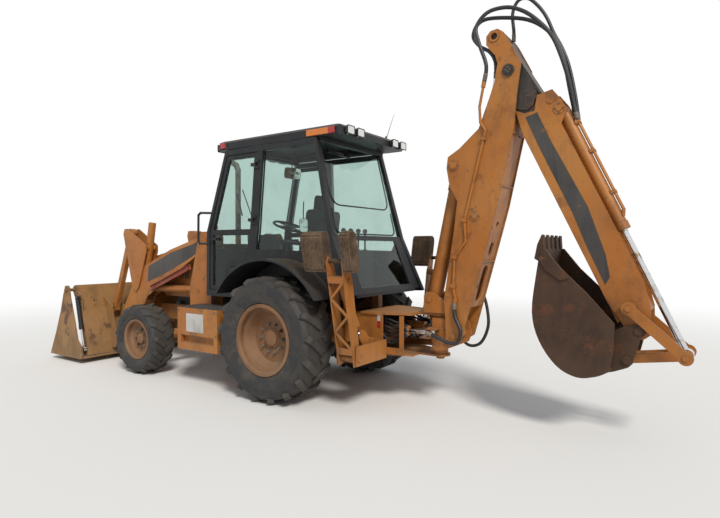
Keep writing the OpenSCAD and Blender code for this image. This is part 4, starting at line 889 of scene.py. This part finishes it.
def makeSeals():
    bm = bmesh.new()
    for corners, bend in seals:
        addTube(bm, sealPath([onRearPane(y, z) for y, z in corners], bend), sealRadius, 8)
    for wiper, placed in ((rearWiper, onRearPane), (frontWiper, at)):
        for start, end, radius in wiper:
            addTube(bm, [placed(*start), placed(*end)], radius, 8)
    finished(meshObject("sealsAndWipers", bm), "root", "trim", smooth=True)


makeSeals()

# Mirrors: middle, half width, half height, and the direction that the glass faces
mirrors = [
    {"place": (200, 300, 2320), "half": 100, "tall": 60, "aim": (-0.93, 0.3, -0.2)},
    {"place": (-170, 560, 1740), "half": 42, "tall": 70, "aim": (-0.7, 0.6, 0.1)},
]
mirrorSpec = {"corners": 24, "squareness": 0.35, "shell": 0.018, "glass": 0.0015, "glassShare": 0.93,
              "stalk": 0.006, "stalkRise": 0.24}


def squareRing(count, power):
    # Points of a square with round corners
    for k in range(count):
        a = 2 * math.pi * (k + 0.5) / count
        yield [math.copysign(abs(c) ** power, c) for c in (math.cos(a), math.sin(a))]


def makeMirrors():
    shell, face = bmesh.new(), bmesh.new()
    for row in mirrors:
        middle = at(*row["place"])
        aim = Vector(row["aim"]).normalized()
        side = Vector((0, 0, 1)).cross(aim).normalized()
        up = aim.cross(side)
        shape = [middle + side * (c * row["half"] / 1000) + up * (s * row["tall"] / 1000)
                 for c, s in squareRing(mirrorSpec["corners"], mirrorSpec["squareness"])]
        addPrism(shell, shape, -aim * mirrorSpec["shell"])
        glass = [middle + (p - middle) * mirrorSpec["glassShare"] + aim * 0.0005 for p in shape]
        addPrism(face, glass, aim * mirrorSpec["glass"])
        rise = Vector((0, 0, mirrorSpec["stalkRise"]))
        stalk = [middle - aim * 0.012, middle - aim * 0.03 + rise / 2, middle + rise]
        addTube(shell, stalk, mirrorSpec["stalk"], 8)
    finished(bevelled(meshObject("mirrorShells", shell), 0.003), "root", "trim")
    finished(meshObject("mirrorFaces", face), "root", "mirrorGlass")


makeMirrors()


# Whip aerial: a foot, and a rod that thins and bends towards its tip
whipSpec = {"foot": (-560, -380, 2705), "tip": (-600, -470, 3010), "bend": -0.02,
            "radii": [0.004, 0.0036, 0.0032, 0.0028, 0.0024, 0.002, 0.0016],
            "socket": [(0, 0), (0, 0.018), (0.02, 0.014), (0.045, 0.008), (0.048, 0)]}


def makeWhip():
    foot, tip = at(*whipSpec["foot"]), at(*whipSpec["tip"])
    bm = bmesh.new()
    last = len(whipSpec["radii"]) - 1
    bend = Vector((0, whipSpec["bend"], 0))
    path = [foot + (tip - foot) * k / last + bend * (k / last) ** 2 for k in range(last + 1)]
    addTube(bm, path, whipSpec["radii"], 8)
    turnedProfile(bm, whipSpec["socket"], foot, (0, 0, 1), 16)
    finished(meshObject("radioWhip", bm), "root", "trim", smooth=True)


makeWhip()
print("cab dressed")


# Seat: crowned cushions over the plain block and back, with sewn channels; the turn is in degrees
cushions = {
    "seatCushion": {"size": (470, 510, 130), "crown": 12, "channels": (-0.35, 0.1, 0.5),
                    "place": (290, 0, 1325), "turn": 0, "fill": 0.7},
    "seatBack": {"size": (620, 486, 126), "crown": 10, "channels": (-0.5, -0.1, 0.3),
                 "place": (56, 0, 1648), "turn": 82, "fill": 0.65},
}
# Depth and width of the sewn channels and of the side seams, and how far the corners are rounded
cushionSpec = {"steps": 44, "corner": 0.18, "rimPower": 5, "channel": (0.009, 0.045),
               "seam": (0.007, 0.04), "seamAt": 0.72}


def groove(shape, offset):
    depth, width = shape
    return depth * math.exp(-(offset / width) ** 2)


def makeCushion(name, size, crown, channels, place, turn, fill):
    bm = bmesh.new()
    length, width, thick = (s / 1000 for s in size)
    steps, corner, power = cushionSpec["steps"], cushionSpec["corner"], cushionSpec["rimPower"]
    along = [k / steps * 2 - 1 for k in range(steps + 1)]
    for face in (1, -1):
        grid = []
        for u in along:
            line = []
            for v in along:
                x = u * math.sqrt(1 - corner * v * v) * length / 2
                y = v * math.sqrt(1 - corner * u * u) * width / 2
                rim = (1 - abs(u) ** power) * (1 - abs(v) ** power)
                height = thick / 2 * rim ** 0.5 + crown / 1000 * (1 - u * u) * (1 - v * v)
                for channel in channels:
                    height -= groove(cushionSpec["channel"], u - channel) * rim
                height -= groove(cushionSpec["seam"], abs(v) - cushionSpec["seamAt"]) * rim
                line.append(bm.verts.new((x, y, face * max(height, 0.0))))
            grid.append(line)
        for i in range(steps):
            for j in range(steps):
                bm.faces.new((grid[i][j], grid[i + 1][j], grid[i + 1][j + 1], grid[i][j + 1]))
    bm.transform(Matrix.Translation(at(*place)) @ Matrix.Rotation(math.radians(turn), 4, "Y"))
    obj = finished(meshObject(name, bm), "root", "seatCloth", smooth=True)


for name, spec in cushions.items():
    makeCushion(name, **spec)
print("seat sewn")


# Keeper bolts round the pins: arm, (u, v), y, circle and the body they ride on; then those of the side boxes
pinCircles = [
    ("boomTip", boomPlace, (2396, 0), 182, 0.018, "dipper"),
    ("boomMid", boomPlace, (1120, -27), 167, 0.036, "boom"),
    ("boomHump", boomPlace, (1535, -331), 167, 0.043, "boom"),
    ("curlFoot", dipperPlace, (520, -215), 136, 0.036, "extension"),
]
keeperBolt = {"count": 4, "nut": 0.0065, "height": 0.007}
boxBolt = {"count": 3, "circle": 0.012, "nut": 0.005, "height": 0.004}
for name, place, (u, v), y, circle, body in pinCircles:
    for sign, side in ((1, "Left"), (-1, "Right")):
        nutCircle(name + "Bolts" + side, centre=onArm(place, u, v, sign * y), axis=(0, sign, 0), body=body,
                  circle=circle, **keeperBolt)
for x in (700, 1310):
    for sign, side in ((1, "Left"), (-1, "Right")):
        nutCircle(f"boxBolts{side}{x}", centre=at(x, sign * 950, 830), axis=(0, sign, 0), body="root",
                  **boxBolt)

# Louvres in the hood's sides
louvreSpec = {"count": 9, "from": 1830, "pitch": 46, "low": 1130, "high": 1330, "out": 7, "y": 400.3,
              "width": 30, "tip": 26}


def makeLouvres():
    bm = bmesh.new()
    y, out, low = louvreSpec["y"], louvreSpec["out"], louvreSpec["low"]
    lift = Vector((0, 0, (louvreSpec["high"] - low) / 1000))
    for sign in (1, -1):
        for k in range(louvreSpec["count"]):
            x = louvreSpec["from"] + louvreSpec["pitch"] * k
            wedge = [at(x, sign * y, low), at(x + louvreSpec["width"], sign * y, low),
                     at(x + louvreSpec["tip"], sign * (y + out), low)]
            addPrism(bm, wedge, lift)
    finished(bevelled(meshObject("hoodLouvres", bm), 0.0015), "hood", "stripeGrey")


makeLouvres()

# Lenses and rims of the head lamps in the hood's front
headLamp = {"x": 2693.3, "y": 275, "z": 1240, "radius": 0.052}
# Rows of distance in front of the hood, and share of the lamp's radius, or metres beyond it for the rim
lensProfile = [(0, 0), (0, 1), (0.003, 0.98), (0.008, 0.7), (0.0105, 0.35), (0.0115, 0)]
rimProfile = [(0, 0), (0.005, 0), (0.007, 0.002), (0.005, 0.007), (0, 0.0075), (0, 0)]


def makeHeadLamps():
    lens, ring = bmesh.new(), bmesh.new()
    r = headLamp["radius"]
    for sign in (1, -1):
        middle = at(headLamp["x"], sign * headLamp["y"], headLamp["z"])
        turnedProfile(lens, [(along, r * share) for along, share in lensProfile], middle, (1, 0, 0), 36)
        turnedProfile(ring, [(along, r + more) for along, more in rimProfile], middle, (1, 0, 0), 40)
    finished(meshObject("headLenses", lens), "hood", "lampLens", smooth=True)
    finished(meshObject("headRims", ring), "hood", "trim", smooth=True)


makeHeadLamps()
print("bolts, louvres and head lamps set")


# Floor, backdrop and light; the backdrop is white to the camera, also through glass, and softer as a light
stageSpec = {"floorHalf": 60, "floorDrop": 0.0005, "floorColour": (0.8, 0.8, 0.79, 1), "fade": (5.0, 13.0),
             "sky": (0.93, 0.96, 1.0, 1), "skyStrength": 0.5}
# High from behind the camera's left, so the side that faces the camera is lit; its softness is in degrees
sunSpec = {"strength": 2.5, "softness": 14, "colour": (1.0, 0.96, 0.9), "from": (-0.62, 0.5, 0.75)}


def seenByCamera(tree):
    path = addNode(tree, "ShaderNodeLightPath").outputs
    mirrored = maths(tree, "MAXIMUM", path["Is Glossy Ray"], path["Is Transmission Ray"])
    return maths(tree, "MAXIMUM", path["Is Camera Ray"], mirrored)


def mixInto(tree, outKind, factor, first, second):
    both = addNode(tree, "ShaderNodeMixShader")
    for socket, source in zip(both.inputs, (factor, first.outputs[0], second.outputs[0])):
        wire(tree, source, socket)
    wire(tree, both.outputs[0], addNode(tree, outKind).inputs[0])


def makeFloor():
    half = stageSpec["floorHalf"]
    bm = bmesh.new()
    for x, y in ((-half, -half), (half, -half), (half, half), (-half, half)):
        bm.verts.new((x, y, cadBounds[0][2] - stageSpec["floorDrop"]))
    bm.faces.new(bm.verts)
    floor = meshObject("floor", bm)
    material = bpy.data.materials.new("floorPale")
    tree = startTree(material)
    matte = addNode(tree, "ShaderNodeBsdfDiffuse", Color=stageSpec["floorColour"])
    length = addNode(tree, "ShaderNodeVectorMath", operation="LENGTH")
    wire(tree, addNode(tree, "ShaderNodeTexCoord").outputs["Object"], length.inputs[0])
    far = ramp(tree, length.outputs["Value"], *stageSpec["fade"])
    glowing = maths(tree, "MULTIPLY", far, seenByCamera(tree))
    mixInto(tree, "ShaderNodeOutputMaterial", glowing, matte, addNode(tree, "ShaderNodeEmission"))
    floor.data.materials.append(material)


def makeLight():
    world = bpy.data.worlds.new("studio")
    bpy.context.scene.world = world
    tree = startTree(world)
    soft = addNode(tree, "ShaderNodeBackground", Color=stageSpec["sky"], Strength=stageSpec["skyStrength"])
    white = addNode(tree, "ShaderNodeBackground", Color=(1, 1, 1, 1))
    mixInto(tree, "ShaderNodeOutputWorld", seenByCamera(tree), soft, white)
    sunData = bpy.data.lights.new("sun", "SUN")
    sunData.energy = sunSpec["strength"]
    sunData.angle = math.radians(sunSpec["softness"])
    sunData.color = sunSpec["colour"]
    sun = bpy.data.objects.new("sun", sunData)
    bpy.context.scene.collection.objects.link(sun)
    aim = Vector(sunSpec["from"]).normalized()
    sun.matrix_world = Vector((0, 0, 1)).rotation_difference(aim).to_matrix().to_4x4()


makeFloor()
makeLight()
bpy.context.scene.view_settings.view_transform = "Standard"
print("stage set")
